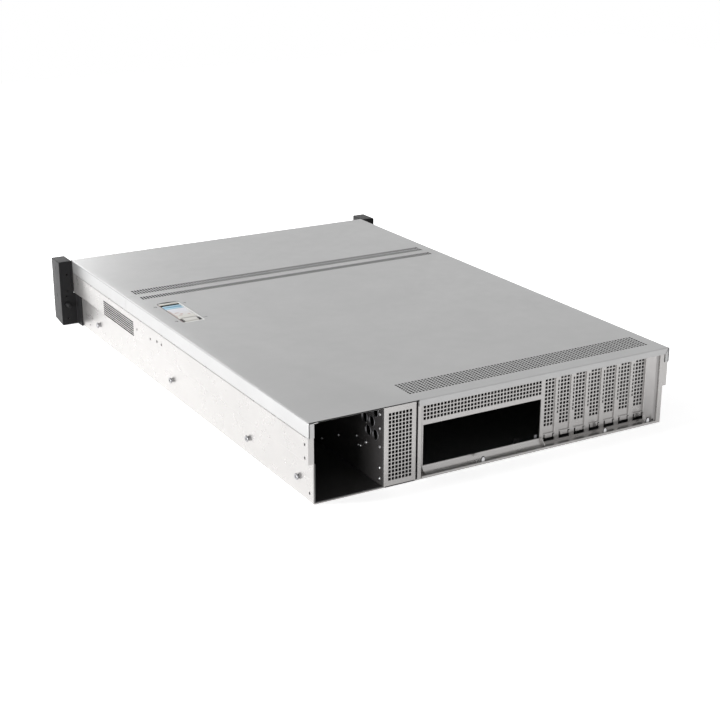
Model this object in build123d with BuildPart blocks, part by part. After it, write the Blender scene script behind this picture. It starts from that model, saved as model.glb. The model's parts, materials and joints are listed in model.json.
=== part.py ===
from build123d import *
import os
from math import sqrt

os.makedirs("parts", exist_ok=True)

# Rackmount case, two units high. X runs across it, +Y to the rear, +Z up. Millimetres.
# The origin is under the middle of the whole case, at the height of its floor.

# Overall sizes
body_width = 446.0
body_height = 87.0
cover_run = 668.0
ear_flange = 18.3
ear_reach = 25.0
knob_reach = 7.0

# Sheet metal
sheet = 1.2
cover_sheet = 1.0
bend_radius = 1.5
fit_gap = 0.2
seat_gap = 0.3

# Side walls: the lower part is set in, the top edge steps back behind the cover flanges
side_step = 5.0
cover_flange = 16.3
upper_band = 27.8
rim_width = 9.8
side_vent_rows = 7
side_vent_length = 101.0
side_vent_height = 1.7
side_vent_pitch = 2.75
side_vent_from_seam = 17.5
side_vent_from_front = 168.0

# Covers
front_cover_run = 196.9
cover_seam = 0.4
front_lip = 3.0
rear_lip = 7.1
rear_lip_play = 0.4
corner_gap = 0.5

# Rear end
wall_setback = 11.2
post_gap = 1.4
post_width = 5.3
side_post_width = 5.8
recess_from_side = 14.2
recess_flare = 6.0
floor_lip = 2.7
io_from_post = 8.0
io_width = 146.9
io_bottom = 8.8
io_height = 44.5
shelf_drop = 7.0

# The perforated panel beside the power supply bay
panel_width = 38.5
panel_side_margin = 4.5
panel_end_margin = 6.0
hole_side = 2.8
hole_column_pitch = 4.0
hole_row_pitch = 4.07

# Expansion slots
slot_pitch = 20.32
slot_from_io = 11.45
slot_width = 14.3
slot_bottom = 11.6
slot_cover_width = 18.4
slot_cover_sheet = 0.9
slot_tab = 9.6
slot_tail_width = 10.2
tail_slot_width = 14.8
tail_slot_height = 2.6
tail_slot_z = 5.7
tail_nib_width = 1.6
tail_nib_height = 6.4
tail_slot_shift = -1.3

# Power supply bay, a black cage with its own floor
bay_width = 77.0
bay_depth = 235.0
bay_hole_radius = 5.6
bay_hole_pitch = 14.1
bay_hole_rows = 3
bay_hole_columns = 2
bay_hole_from_rear = 14.5
bay_window = 50.0

# Drive cage, trays and handles
tray_columns = 4
tray_rows = 3
cage_side_play = 0.8
cage_slack = 0.6
cage_sheet = 1.0
cage_depth = 181.0
tray_side_play = 1.6
tray_play = 1.4
tray_lift = 0.3
rail_thickness = 1.9
rail_height = 18.0
bezel_depth = 12.0
bezel_setback = 2.5
bezel_window_width = 60.0
bezel_window_height = 12.0
handle_thickness = 5.0
handle_play = 0.7
handle_gap = 0.4
handle_chamfer = 1.5
handle_slot_width = 70.0
handle_slot_height = 11.0
lug_height = 2.6
lug_width = 6.0

# Boards and cross walls
board_thickness = 2.4
board_gap = 2.5
board_margin = 3.0
board_windows = 4
board_window_height = 7.0
connector_width = 43.0
connector_height = 6.5
connector_depth = 8.0
fan_wall_from_seam = 14.0
fan_wall_flange = 12.0
fan_openings = 4
fan_opening = 78.0
fan_margin = 3.0

# Insulating film under the main board
film_thickness = 0.4
film_margin = 2.0
film_hole = 9.0

# Standoffs for the main board, on the usual board's hole spacings
standoff_radius = 3.2
standoff_height = 6.5
standoff_from_io = 1.8
standoff_from_wall = 11.8
standoff_second_column = 124.46
standoff_third_column = 281.94
standoff_second_row = 154.94
standoff_third_row = 227.33

# Cover latch
latch_from_side = 35.5
latch_width = 28.0
latch_length = 81.0
latch_from_seam = 46.0
latch_corner = 3.0
tub_depth = 10.2
tub_wall = 1.5
tub_flange = 7.0
lever_width = 23.0
lever_thickness = 2.8
lever_sink = 1.6
lever_length = 60.0
pivot_from_rear = 9.3
pivot_drop = 5.5
pin_radius = 1.5
pin_fit = 0.05
barrel_radius = 3.0
hook_reach = 12.0
hook_width = 4.0
hook_depth = 5.0
hook_play = 1.0
catch_play = 4.6
catch_tongue = 8.3
catch_arm = 38.0
catch_leg = 13.0

# Rack ears
ear_lap = 4.5
ear_wall = 2.0
ear_corner = 3.0
ear_plate = 2.0
ear_leg_height = 42.5
ear_leg_back = 20.5
knob_radius = 7.0
knob_z = 28.0
screw_radius = 3.0
shank_radius = 2.4
screw_clearance = 0.3
rack_hole_inset = 8.75
screw_tail = 9.0
power_radius = 4.5
power_z = 68.0
reset_radius = 2.4
reset_z = 54.0
button_gap = 0.3
button_length = 8.0
button_stand = 1.4
port_width = 5.6
port_height = 13.0
port_z = (52.0, 70.0)

# Small round parts
stud_radius = 3.4
stud_height = 3.0
stud_z = 18.9
stud_from_rear = (31.9, 143.8, 346.7, 585.4)
head_radius = 2.6
head_height = 1.0
bay_screw_from_top = (6.8, 21.7, 41.3)
bay_screw_from_floor = (7.8, 19.4)

# Places worked out from the sizes above
half_body = body_width / 2
half_lower = half_body - side_step
half_inner = half_lower - sheet
half_rim = half_body - cover_sheet - fit_gap
rear_y = (cover_run + ear_reach + knob_reach) / 2
front_y = rear_y - cover_run
seam_y = front_y + front_cover_run
frame_y = rear_y - cover_sheet - fit_gap
wall_y = frame_y - wall_setback
seam_z = body_height - cover_flange
step_z = seam_z - upper_band
shoulder_z = seam_z - 2 * fit_gap
shelf_z = body_height - shelf_drop
rim_z = body_height - cover_sheet - fit_gap
divider_x = half_inner - bay_width
panel_right = divider_x - sheet
panel_left = panel_right - panel_width
post_outer = panel_left - post_gap
post_inner = post_outer - post_width
io_left = post_inner - io_from_post
recess_corner = half_inner - recess_from_side
cage_front = front_y + fit_gap
cage_back = cage_front + cage_depth
row_pitch = (rim_z - sheet - cage_slack) / tray_rows
tray_height = row_pitch - cage_sheet - tray_play
handle_height = tray_height - 2 * (lug_height + handle_play)
column_pitch = 2 * (half_inner - cage_side_play) / tray_columns
tray_width = column_pitch - cage_sheet - tray_side_play


def facing_rear(y):
    """A plane across the case at y, with X to the right and Z up; extruding goes to the front."""
    return Plane.XZ.offset(-y)


def area(low_x, high_x, low_z, high_z, mode=Mode.ADD):
    """A rectangle given by its sides, in the sketch that is open."""
    with Locations(((low_x + high_x) / 2, (low_z + high_z) / 2)):
        Rectangle(high_x - low_x, high_z - low_z, mode=mode)


def mirrored(points):
    """The points as they lie on the other side of the middle, in reverse order."""
    return [(-x, z) for x, z in reversed(points)]


# The folded tray of the case: floor, side walls, rims and rear flanges
wall_points = [
    (half_lower, 0),
    (half_lower, step_z),
    (half_body, step_z),
    (half_body, shoulder_z),
    (half_rim, shoulder_z),
    (half_rim, rim_z),
    (half_rim - rim_width, rim_z),
]
with BuildPart() as chassis_base:
    with BuildSketch(facing_rear(frame_y)):
        with BuildLine():
            Polyline(mirrored(wall_points) + wall_points)
            offset(amount=sheet, side=Side.LEFT, kind=Kind.INTERSECTION)
        make_face()
    extrude(amount=frame_y - front_y)
    with BuildSketch(facing_rear(frame_y)):
        area(side_post_width - half_lower, post_inner, 0, floor_lip)
        area(-half_lower, side_post_width - half_lower, 0, body_height - rear_lip - fit_gap)
        area(-half_body, -half_inner, step_z, shoulder_z)
        area(half_inner, half_body, step_z, shoulder_z)
    extrude(amount=sheet)
    with BuildSketch(facing_rear(frame_y)):
        area(post_outer, divider_x, 0, sheet)
    extrude(amount=sheet + fit_gap, mode=Mode.SUBTRACT)
    with BuildSketch(Plane.YZ.offset(-half_body)):
        with Locations((front_y + side_vent_from_front, seam_z - side_vent_from_seam)):
            with GridLocations(0, side_vent_pitch, 1, side_vent_rows):
                Rectangle(side_vent_length, side_vent_height)
    extrude(amount=body_width, mode=Mode.SUBTRACT)
chassis_base.part.label = "chassis_base"
export_step(chassis_base.part, "parts/chassis_base.step")


def cover_section(y):
    """The covers' cross section in a plane across the case: a flat top with a flange down each side."""
    with BuildSketch(facing_rear(y)) as section:
        with BuildLine():
            FilletPolyline(
                (-half_body, seam_z),
                (-half_body, body_height),
                (half_body, body_height),
                (half_body, seam_z),
                radius=bend_radius,
            )
            offset(amount=cover_sheet, side=Side.RIGHT, kind=Kind.INTERSECTION)
        make_face()
    return section.sketch


# The fixed front cover
with BuildPart() as front_cover:
    extrude(cover_section(seam_y - cover_seam), amount=front_cover_run - cover_seam)
    with BuildSketch(facing_rear(front_y + cover_sheet)):
        area(-half_rim + rim_width, half_rim - rim_width, body_height - front_lip, body_height - cover_sheet)
    extrude(amount=cover_sheet)
front_cover.part.label = "front_cover"
export_step(front_cover.part, "parts/front_cover.step")

# The sliding rear cover, with its lip over the rear wall, a return at the rear end of each flange
# and the cut-out for the latch
lip_z = body_height - rear_lip
latch_x = half_body - latch_from_side
latch_y = seam_y + latch_from_seam + latch_length / 2
with BuildPart() as rear_cover:
    extrude(cover_section(rear_y), amount=rear_y - seam_y)
    with BuildSketch(facing_rear(rear_y)):
        with BuildLine():
            Polyline(
                (post_outer - rear_lip_play, body_height - cover_sheet),
                (post_outer - rear_lip_play, lip_z),
                (-half_lower, lip_z),
                (-half_body + bend_radius, body_height - cover_sheet),
                close=True,
            )
        make_face()
        with BuildLine():
            Polyline(
                (-half_body + cover_sheet, seam_z),
                (-half_lower - corner_gap, seam_z),
                (-half_lower - corner_gap, lip_z),
                (-half_body + cover_sheet, body_height - cover_sheet),
                close=True,
            )
        make_face()
        area(half_inner, half_body - cover_sheet, seam_z, body_height - cover_sheet - corner_gap)
    extrude(amount=cover_sheet)
    with BuildSketch(Plane.XY.offset(body_height - cover_sheet)):
        with Locations((latch_x, latch_y)):
            RectangleRounded(latch_width, latch_length, latch_corner)
    extrude(amount=cover_sheet, mode=Mode.SUBTRACT)
rear_cover.part.label = "rear_cover"
export_step(rear_cover.part, "parts/rear_cover.step")

# The latch tub under the rear cover, with a slot in its floor for the hook
tub_width = latch_width - 2 * fit_gap
tub_length = latch_length - 2 * fit_gap
tub_bottom = body_height - fit_gap - tub_depth
tub_floor = tub_bottom + tub_wall
pivot_y = latch_y + latch_length / 2 - pivot_from_rear
pivot_z = body_height - pivot_drop
with BuildPart() as latch_tub:
    with BuildSketch(Plane.XY.offset(tub_bottom)):
        with Locations((latch_x, latch_y)):
            Rectangle(tub_width, tub_length)
    extrude(amount=tub_depth - cover_sheet + fit_gap)
    with BuildSketch(Plane.XY.offset(body_height - cover_sheet)):
        with Locations((latch_x, latch_y)):
            Rectangle(tub_width + 2 * tub_flange, tub_length + tub_flange)
    extrude(amount=-tub_wall)
    with BuildSketch(Plane.XY.offset(tub_floor)):
        with Locations((latch_x, latch_y)):
            RectangleRounded(tub_width - 2 * tub_wall, tub_length - 2 * tub_wall, latch_corner - tub_wall)
    extrude(amount=tub_depth, mode=Mode.SUBTRACT)
    with BuildSketch(Plane.XY.offset(tub_bottom)):
        with Locations((latch_x, pivot_y - hook_reach / 2)):
            Rectangle(hook_width + 2 * hook_play, hook_reach + 2 * hook_depth)
    extrude(amount=tub_wall, mode=Mode.SUBTRACT)
    with BuildSketch(Plane.YZ.offset(latch_x - tub_width / 2)):
        with Locations((pivot_y, pivot_z)):
            Circle(pin_radius + pin_fit)
    extrude(amount=tub_width, mode=Mode.SUBTRACT)
latch_tub.part.label = "latch_tub"
export_step(latch_tub.part, "parts/latch_tub.step")

# The latch lever: a flat paddle, a barrel round the pin and a hook under it
lever_top = body_height - lever_sink
hook_end_z = pivot_z - hook_reach - hook_depth / 2
with BuildPart() as latch_lever:
    with BuildSketch(Plane.YZ.offset(latch_x - lever_width / 2)):
        area(pivot_y - lever_length, pivot_y, lever_top - lever_thickness, lever_top)
        with Locations((pivot_y, pivot_z)):
            Circle(barrel_radius)
    extrude(amount=lever_width)
    with BuildSketch(Plane.YZ.offset(latch_x - hook_width / 2)):
        area(pivot_y - hook_depth / 2, pivot_y + hook_depth / 2, hook_end_z, pivot_z)
    extrude(amount=hook_width)
    with BuildSketch(Plane.YZ.offset(latch_x - lever_width / 2)):
        with Locations((pivot_y, pivot_z)):
            Circle(pin_radius + screw_clearance)
    extrude(amount=lever_width, mode=Mode.SUBTRACT)
latch_lever.part.label = "latch_lever"
export_step(latch_lever.part, "parts/latch_lever.step")

# The latch's hinge pin
with BuildPart() as latch_pin:
    with BuildSketch(Plane.YZ.offset(latch_x - tub_width / 2)):
        with Locations((pivot_y, pivot_z)):
            Circle(pin_radius)
    extrude(amount=tub_width)
latch_pin.part.label = "latch_pin"
export_step(latch_pin.part, "parts/latch_pin.step")

# The bracket on the side wall that the hook pushes against
upper_inner = half_body - sheet
catch_z = hook_end_z - catch_play
with BuildPart() as latch_catch:
    with BuildSketch(facing_rear(pivot_y + hook_depth)):
        area(upper_inner - catch_arm, upper_inner, catch_z - sheet, catch_z)
        area(upper_inner - sheet, upper_inner, catch_z - catch_leg, catch_z)
    extrude(amount=hook_depth + hook_reach)
    with BuildSketch(facing_rear(pivot_y - hook_depth / 2 - catch_play)):
        area(latch_x - hook_width, latch_x + hook_width, catch_z, catch_z + catch_tongue)
    extrude(amount=sheet)
latch_catch.part.label = "latch_catch"
export_step(latch_catch.part, "parts/latch_catch.step")

# The rear wall, set back from the rear plane, with its post, shelf and openings
first_slot_x = io_left - io_width - slot_from_io
slot_count = int((recess_corner + first_slot_x) / slot_pitch) + 1
slot_x = [first_slot_x - slot_pitch * i for i in range(slot_count)]
tail_slot_low = tail_slot_z - tail_slot_height / 2
tail_slot_high = tail_slot_z + tail_slot_height / 2
with BuildPart() as rear_wall:
    with BuildSketch(Plane.XY.offset(sheet)):
        with BuildLine():
            Polyline(
                (post_outer, frame_y),
                (post_inner, frame_y),
                (post_inner, wall_y),
                (-recess_corner, wall_y),
                (-recess_corner - recess_flare, frame_y - sheet),
                (-half_inner + fit_gap, frame_y - sheet),
            )
            offset(amount=sheet, side=Side.LEFT, kind=Kind.INTERSECTION)
        make_face()
    extrude(amount=rim_z - 2 * sheet)
    with BuildSketch(facing_rear(frame_y)):
        area(-half_body, post_inner - fit_gap, shelf_z, body_height)
    extrude(amount=2 * wall_setback, mode=Mode.SUBTRACT)
    with BuildSketch(Plane.XY.offset(shelf_z)):
        area(-recess_corner, post_inner, wall_y - sheet, frame_y - sheet - fit_gap)
    extrude(amount=-sheet)
    with BuildSketch(facing_rear(wall_y)):
        area(io_left - io_width, io_left, io_bottom, io_bottom + io_height)
        for x in slot_x:
            area(x - slot_width / 2, x + slot_width / 2, slot_bottom, shelf_z - sheet)
            left = x + tail_slot_shift - tail_slot_width / 2
            right = left + tail_slot_width
            area(left, right, tail_slot_low, tail_slot_high)
            area(left, left + tail_nib_width, tail_slot_low, tail_slot_low + tail_nib_height)
            area(right - tail_nib_width, right, tail_slot_low, tail_slot_low + tail_nib_height)
    extrude(amount=sheet, mode=Mode.SUBTRACT)
rear_wall.part.label = "rear_wall"
export_step(rear_wall.part, "parts/rear_wall.step")

# The perforated panel between the wall's post and the power supply bay
panel_top = rim_z - fit_gap
panel_rows = int((panel_top - 2 * panel_end_margin) / hole_row_pitch)
panel_columns = int((panel_width - 2 * panel_side_margin) / hole_column_pitch)
with BuildPart() as vent_panel:
    with BuildSketch(Plane.XY):
        with BuildLine():
            Polyline(
                (panel_right, frame_y - wall_setback),
                (panel_right, frame_y),
                (panel_left, frame_y),
                (panel_left, frame_y - wall_setback),
            )
            offset(amount=sheet, side=Side.LEFT, kind=Kind.INTERSECTION)
        make_face()
    extrude(amount=panel_top)
    with BuildSketch(facing_rear(frame_y - sheet)):
        area(panel_left, panel_right, 0, sheet)
    extrude(amount=wall_setback, mode=Mode.SUBTRACT)
    with BuildSketch(facing_rear(frame_y)):
        with Locations(((panel_left + panel_right) / 2, panel_top / 2)):
            with GridLocations(hole_column_pitch, hole_row_pitch, panel_columns, panel_rows):
                Rectangle(hole_side, hole_side)
    extrude(amount=sheet, mode=Mode.SUBTRACT)
vent_panel.part.label = "vent_panel"
export_step(vent_panel.part, "parts/vent_panel.step")

# The folded cage of the power supply bay: divider, floor, low right wall and front wall
bay_front = frame_y - bay_depth
bay_top = rim_z - sheet - fit_gap
bay_floor = 2 * sheet
bay_right = half_inner - fit_gap - sheet
with BuildPart() as bay_divider:
    with BuildSketch(facing_rear(frame_y)):
        with BuildLine():
            Polyline(
                (divider_x, bay_top),
                (divider_x, bay_floor),
                (bay_right, bay_floor),
                (bay_right, step_z),
            )
            offset(amount=sheet, side=Side.RIGHT, kind=Kind.INTERSECTION)
        make_face()
    extrude(amount=bay_depth)
    with BuildSketch(facing_rear(bay_front)):
        area(divider_x - sheet, bay_right + sheet, sheet, bay_top)
    extrude(amount=sheet)
    with BuildSketch(Plane.YZ.offset(divider_x - sheet)):
        for row in range(bay_hole_rows):
            first_y = frame_y - bay_hole_from_rear - row % 2 * bay_hole_pitch / 2
            hole_z = bay_top - bay_hole_pitch / 2 - row * bay_hole_pitch * sqrt(3) / 2
            with Locations((first_y - bay_hole_pitch * (bay_hole_columns - 1) / 2, hole_z)):
                with GridLocations(bay_hole_pitch, 0, bay_hole_columns, 1):
                    Circle(bay_hole_radius)
    extrude(amount=sheet, mode=Mode.SUBTRACT)
    with BuildSketch(facing_rear(bay_front)):
        with Locations(((divider_x + bay_right) / 2, body_height / 2)):
            Rectangle(bay_window, bay_window)
    extrude(amount=sheet, mode=Mode.SUBTRACT)
bay_divider.part.label = "bay_divider"
export_step(bay_divider.part, "parts/bay_divider.step")

# The covers of the expansion slots: a blade behind the wall, a tab on its shelf and a tail
blade_y = wall_y - sheet
for number, x in enumerate(slot_x, start=1):
    with BuildPart() as slot_cover:
        with BuildSketch(Plane.YZ.offset(x - slot_cover_width / 2)):
            area(blade_y - slot_cover_sheet, blade_y, slot_bottom - sheet, shelf_z + slot_cover_sheet)
            area(blade_y - slot_cover_sheet, blade_y + slot_tab, shelf_z, shelf_z + slot_cover_sheet)
        extrude(amount=slot_cover_width)
        with BuildSketch(facing_rear(blade_y)):
            area(x - slot_tail_width / 2, x + slot_tail_width / 2, tail_slot_high + fit_gap, slot_bottom)
        extrude(amount=slot_cover_sheet)
    slot_cover.part.label = f"slot_cover_{number}"
    export_step(slot_cover.part, f"parts/slot_cover_{number}.step")

# One screw head on the tab of each slot cover
with BuildPart() as slot_screws:
    with BuildSketch(Plane.XY.offset(shelf_z + slot_cover_sheet)):
        with Locations(*[(x, blade_y + slot_tab / 2) for x in slot_x]):
            RegularPolygon(head_radius, 6)
    extrude(amount=head_height)
slot_screws.part.label = "slot_screws"
export_step(slot_screws.part, "parts/slot_screws.step")

# Screw heads down the divider at the mouth of the power supply bay
bay_screw_z = [bay_top - drop for drop in bay_screw_from_top]
bay_screw_z += [sheet + rise for rise in bay_screw_from_floor]
with BuildPart() as bay_screws:
    with BuildSketch(Plane.YZ.offset(divider_x)):
        with Locations(*[(frame_y - wall_setback / 2, z) for z in bay_screw_z]):
            RegularPolygon(head_radius, 6)
    extrude(amount=head_height)
bay_screws.part.label = "bay_screws"
export_step(bay_screws.part, "parts/bay_screws.step")

# The drive cage: two shelves, and upright dividers between them
row_floor = [sheet + row_pitch * row for row in range(tray_rows)]
shelf_half = (half_inner - fit_gap, upper_inner - fit_gap)
for number in (1, 2):
    with BuildPart() as cage_shelf:
        with BuildSketch(Plane.XY.offset(row_floor[number] - cage_sheet)):
            area(-shelf_half[number - 1], shelf_half[number - 1], cage_front, cage_back)
        extrude(amount=cage_sheet)
    cage_shelf.part.label = f"cage_shelf_{number}"
    export_step(cage_shelf.part, f"parts/cage_shelf_{number}.step")

with BuildPart() as cage_dividers:
    for row in range(tray_rows):
        top = rim_z if row == tray_rows - 1 else row_floor[row + 1] - cage_sheet
        with BuildSketch(Plane.XY.offset(row_floor[row])):
            for column in range(1, tray_columns):
                x = (column - tray_columns / 2) * column_pitch
                area(x - cage_sheet / 2, x + cage_sheet / 2, cage_front + cover_sheet, cage_back)
        extrude(amount=top - row_floor[row])
cage_dividers.part.label = "cage_dividers"
export_step(cage_dividers.part, "parts/cage_dividers.step")

# Twelve drive trays, each a bezel with two rails, and a handle hinged at its right end
bezel_y = front_y + bezel_setback
handle_y = bezel_y - handle_gap - handle_thickness / 2
hinge_inset = lug_width / 2 + tray_lift
number = 0
for row in range(tray_rows):
    for column in range(tray_columns):
        number += 1
        tray_x = (column + 0.5 - tray_columns / 2) * column_pitch
        tray_z = row_floor[row] + tray_lift
        tray_left = tray_x - tray_width / 2
        tray_right = tray_x + tray_width / 2
        tray_top = tray_z + tray_height
        hinge_x = tray_right - hinge_inset
        with BuildPart() as tray:
            with BuildSketch(facing_rear(bezel_y + bezel_depth)):
                area(tray_left, tray_right, tray_z, tray_top)
                with Locations((tray_x, tray_z + tray_height / 2)):
                    Rectangle(bezel_window_width, bezel_window_height, mode=Mode.SUBTRACT)
            extrude(amount=bezel_depth)
            with BuildSketch(facing_rear(cage_back)):
                area(tray_left, tray_left + rail_thickness, tray_z, tray_z + rail_height)
                area(tray_right - rail_thickness, tray_right, tray_z, tray_z + rail_height)
            extrude(amount=cage_back - bezel_y - bezel_depth)
            with BuildSketch(facing_rear(bezel_y)):
                area(tray_right - lug_width, tray_right, tray_z, tray_z + lug_height)
                area(tray_right - lug_width, tray_right, tray_top - lug_height, tray_top)
            extrude(amount=handle_gap + handle_thickness)
        tray.part.label = f"tray_{number}"
        export_step(tray.part, f"parts/tray_{number}.step")

        with BuildPart() as tray_handle:
            handle_low = tray_z + (tray_height - handle_height) / 2
            handle_left = tray_left + tray_lift
            handle_right = hinge_x + handle_thickness / 2
            handle_front = handle_y - handle_thickness / 2
            with BuildSketch(Plane.XY.offset(handle_low)):
                area(handle_left, handle_right, handle_front, handle_front + handle_thickness)
                chamfer(vertices(Select.LAST).group_by(Axis.X)[-1], handle_chamfer)
            extrude(amount=handle_height)
            with BuildSketch(facing_rear(handle_front + handle_thickness)):
                with Locations(((handle_left + handle_right) / 2, handle_low + handle_height / 2)):
                    Rectangle(handle_slot_width, handle_slot_height)
            extrude(amount=handle_thickness, mode=Mode.SUBTRACT)
        tray_handle.part.label = f"tray_handle_{number}"
        export_step(tray_handle.part, f"parts/tray_handle_{number}.step")

# The drive backplane, with a connector behind each tray and air windows between the rows
board_y = cage_back + board_gap
with BuildPart() as backplane:
    with BuildSketch(facing_rear(board_y + board_thickness)):
        area(-half_inner + board_margin, half_inner - board_margin, sheet, rim_z - board_margin)
        with Locations((0, row_floor[1]), (0, row_floor[2])):
            with GridLocations(column_pitch, 0, board_windows, 1):
                Rectangle(column_pitch / 2, board_window_height, mode=Mode.SUBTRACT)
    extrude(amount=board_thickness)
    with BuildSketch(facing_rear(board_y)):
        with Locations((0, row_floor[1] + tray_height / 2)):
            with GridLocations(column_pitch, row_pitch, tray_columns, tray_rows):
                Rectangle(connector_width, connector_height)
    extrude(amount=connector_depth)
backplane.part.label = "backplane"
export_step(backplane.part, "parts/backplane.step")

# The fan wall, a folded frame with an empty opening for each fan
fan_y = seam_y + fan_wall_from_seam
fan_wall_top = rim_z - sheet - fit_gap
fan_low = sheet + fan_margin
fan_high = fan_wall_top - sheet - fan_margin
fan_x = [(number + 0.5 - fan_openings / 2) * column_pitch for number in range(fan_openings)]
with BuildPart() as fan_wall:
    with BuildSketch(Plane.YZ.offset(-half_inner + fit_gap)):
        with BuildLine():
            Polyline(
                (fan_y + fan_wall_flange, sheet),
                (fan_y, sheet),
                (fan_y, fan_wall_top),
                (fan_y + fan_wall_flange, fan_wall_top),
            )
            offset(amount=sheet, side=Side.RIGHT, kind=Kind.INTERSECTION)
        make_face()
    extrude(amount=2 * (half_inner - fit_gap))
    with BuildSketch(facing_rear(fan_y + sheet)):
        for x in fan_x:
            area(x - fan_opening / 2, x + fan_opening / 2, fan_low, fan_high)
    extrude(amount=sheet, mode=Mode.SUBTRACT)
fan_wall.part.label = "fan_wall"
export_step(fan_wall.part, "parts/fan_wall.step")

# Hexagonal standoffs pressed into the floor
standoff_left_x = io_left - standoff_from_io
standoff_run = standoff_left_x + half_inner - film_margin
standoff_across = [x for x in (0, standoff_second_column, standoff_third_column) if x < standoff_run]
standoff_back = (0, standoff_second_row, standoff_third_row)
standoff_y = [blade_y - standoff_from_wall - back for back in standoff_back]
standoff_places = [(standoff_left_x - across, y) for across in standoff_across for y in standoff_y]
with BuildPart() as board_standoffs:
    with BuildSketch(Plane.XY.offset(sheet)):
        with Locations(*standoff_places):
            RegularPolygon(standoff_radius, 6)
    extrude(amount=standoff_height)
board_standoffs.part.label = "board_standoffs"
export_step(board_standoffs.part, "parts/board_standoffs.step")

# The black insulating film on the floor, with a hole round each standoff
film_front = fan_y + fan_wall_flange + film_margin
film_rear = blade_y - slot_cover_sheet - film_margin
with BuildPart() as floor_film:
    with BuildSketch(Plane.XY.offset(sheet)):
        area(-half_inner + film_margin, divider_x - sheet - film_margin, film_front, film_rear)
        with Locations(*standoff_places):
            Rectangle(film_hole, film_hole, mode=Mode.SUBTRACT)
    extrude(amount=film_thickness)
floor_film.part.label = "floor_film"
export_step(floor_film.part, "parts/floor_film.step")

# Rack ears: a folded bracket on the side wall, a moulded housing in front of it and a captive screw
half_span = half_body + ear_flange
ear_front = front_y - ear_reach
ear_back = front_y + ear_lap
plate_front = ear_back - ear_plate
ear_inner = half_body + fit_gap
screw_x = half_span - rack_hole_inset
for name, side in (("right", 1), ("left", -1)):
    with BuildPart() as ear_bracket:
        with BuildSketch(Plane.XY):
            with BuildLine():
                Polyline(
                    (side * half_lower, front_y + ear_leg_back),
                    (side * half_lower, plate_front),
                    (side * half_span, plate_front),
                    (side * half_span, ear_back),
                    (side * (half_lower + ear_plate), ear_back),
                    (side * (half_lower + ear_plate), front_y + ear_leg_back),
                    close=True,
                )
            make_face()
        extrude(amount=ear_leg_height)
        with BuildSketch(Plane.XY.offset(ear_leg_height)):
            with Locations((side * (ear_inner + half_span) / 2, (plate_front + ear_back) / 2)):
                Rectangle(half_span - ear_inner, ear_plate)
        extrude(amount=body_height - ear_leg_height)
        with BuildSketch(facing_rear(ear_back)):
            with Locations((side * screw_x, knob_z)):
                Circle(screw_radius + screw_clearance)
        extrude(amount=ear_plate, mode=Mode.SUBTRACT)
    ear_bracket.part.label = f"ear_bracket_{name}"
    export_step(ear_bracket.part, f"parts/ear_bracket_{name}.step")

    with BuildPart() as ear_housing:
        with BuildSketch(Plane.YZ.offset(side * ear_inner)):
            with BuildLine():
                Polyline(
                    (plate_front, 0),
                    (plate_front, body_height),
                    (ear_front, body_height),
                    (ear_front, 2 * ear_corner),
                    (ear_front + ear_corner, 0),
                    close=True,
                )
            make_face()
        extrude(amount=side * (half_span - ear_inner))
        middle_x = side * (half_span + ear_inner) / 2
        with BuildSketch(facing_rear(plate_front)):
            with Locations((middle_x, body_height / 2 + ear_corner)):
                Rectangle(half_span - ear_inner - 2 * ear_wall, body_height - 2 * ear_wall - 2 * ear_corner)
        extrude(amount=plate_front - ear_front - ear_wall, mode=Mode.SUBTRACT)
        with BuildSketch(facing_rear(ear_front + ear_wall)):
            with Locations((side * screw_x, knob_z)):
                Circle(screw_radius + screw_clearance)
            if side > 0:
                with Locations((middle_x, power_z)):
                    Circle(power_radius + button_gap)
                with Locations((middle_x, reset_z)):
                    Circle(reset_radius + button_gap)
            else:
                with Locations(*[(middle_x, z) for z in port_z]):
                    Rectangle(port_width, port_height)
        extrude(amount=ear_wall, mode=Mode.SUBTRACT)
    ear_housing.part.label = f"ear_{name}"
    export_step(ear_housing.part, f"parts/ear_{name}.step")

    with BuildPart() as rack_screw:
        with BuildSketch(facing_rear(ear_front)):
            with Locations((side * screw_x, knob_z)):
                Circle(knob_radius)
        extrude(amount=knob_reach)
        with BuildSketch(facing_rear(ear_back + seat_gap)):
            with Locations((side * screw_x, knob_z)):
                Circle(shank_radius)
        extrude(amount=ear_back + seat_gap - ear_front)
        with BuildSketch(facing_rear(ear_back + seat_gap + screw_tail)):
            with Locations((side * screw_x, knob_z)):
                Circle(screw_radius)
        extrude(amount=screw_tail)
    rack_screw.part.label = f"rack_screw_{name}"
    export_step(rack_screw.part, f"parts/rack_screw_{name}.step")

# Buttons in the right ear, each with a collar inside that keeps it from falling out
button_x = (half_span + ear_inner) / 2
for name, radius, z in (("power", power_radius, power_z), ("reset", reset_radius, reset_z)):
    collar_side = 2 * (radius + 2 * button_gap)
    with BuildPart() as button:
        with BuildSketch(facing_rear(ear_front + button_length)):
            with Locations((button_x, z)):
                Circle(radius)
        extrude(amount=button_length + button_stand)
        with BuildSketch(facing_rear(ear_front + button_length)):
            with Locations((button_x, z)):
                Rectangle(collar_side, collar_side)
        extrude(amount=button_length - ear_wall - button_gap)
    button.part.label = f"{name}_button"
    export_step(button.part, f"parts/{name}_button.step")

# Shoulder studs on both side walls, for the slide rails
with BuildPart() as rail_studs:
    for side in (1, -1):
        with BuildSketch(Plane.YZ.offset(side * half_lower)):
            with Locations(*[(rear_y - y, stud_z) for y in stud_from_rear]):
                Circle(stud_radius)
        extrude(amount=side * stud_height)
rail_studs.part.label = "rail_studs"
export_step(rail_studs.part, "parts/rail_studs.step")
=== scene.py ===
"""Looks of the empty rackmount server case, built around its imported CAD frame. Lengths are in metres."""

import json
import math

import bmesh
import bpy
from mathutils import Matrix, Vector


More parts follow.
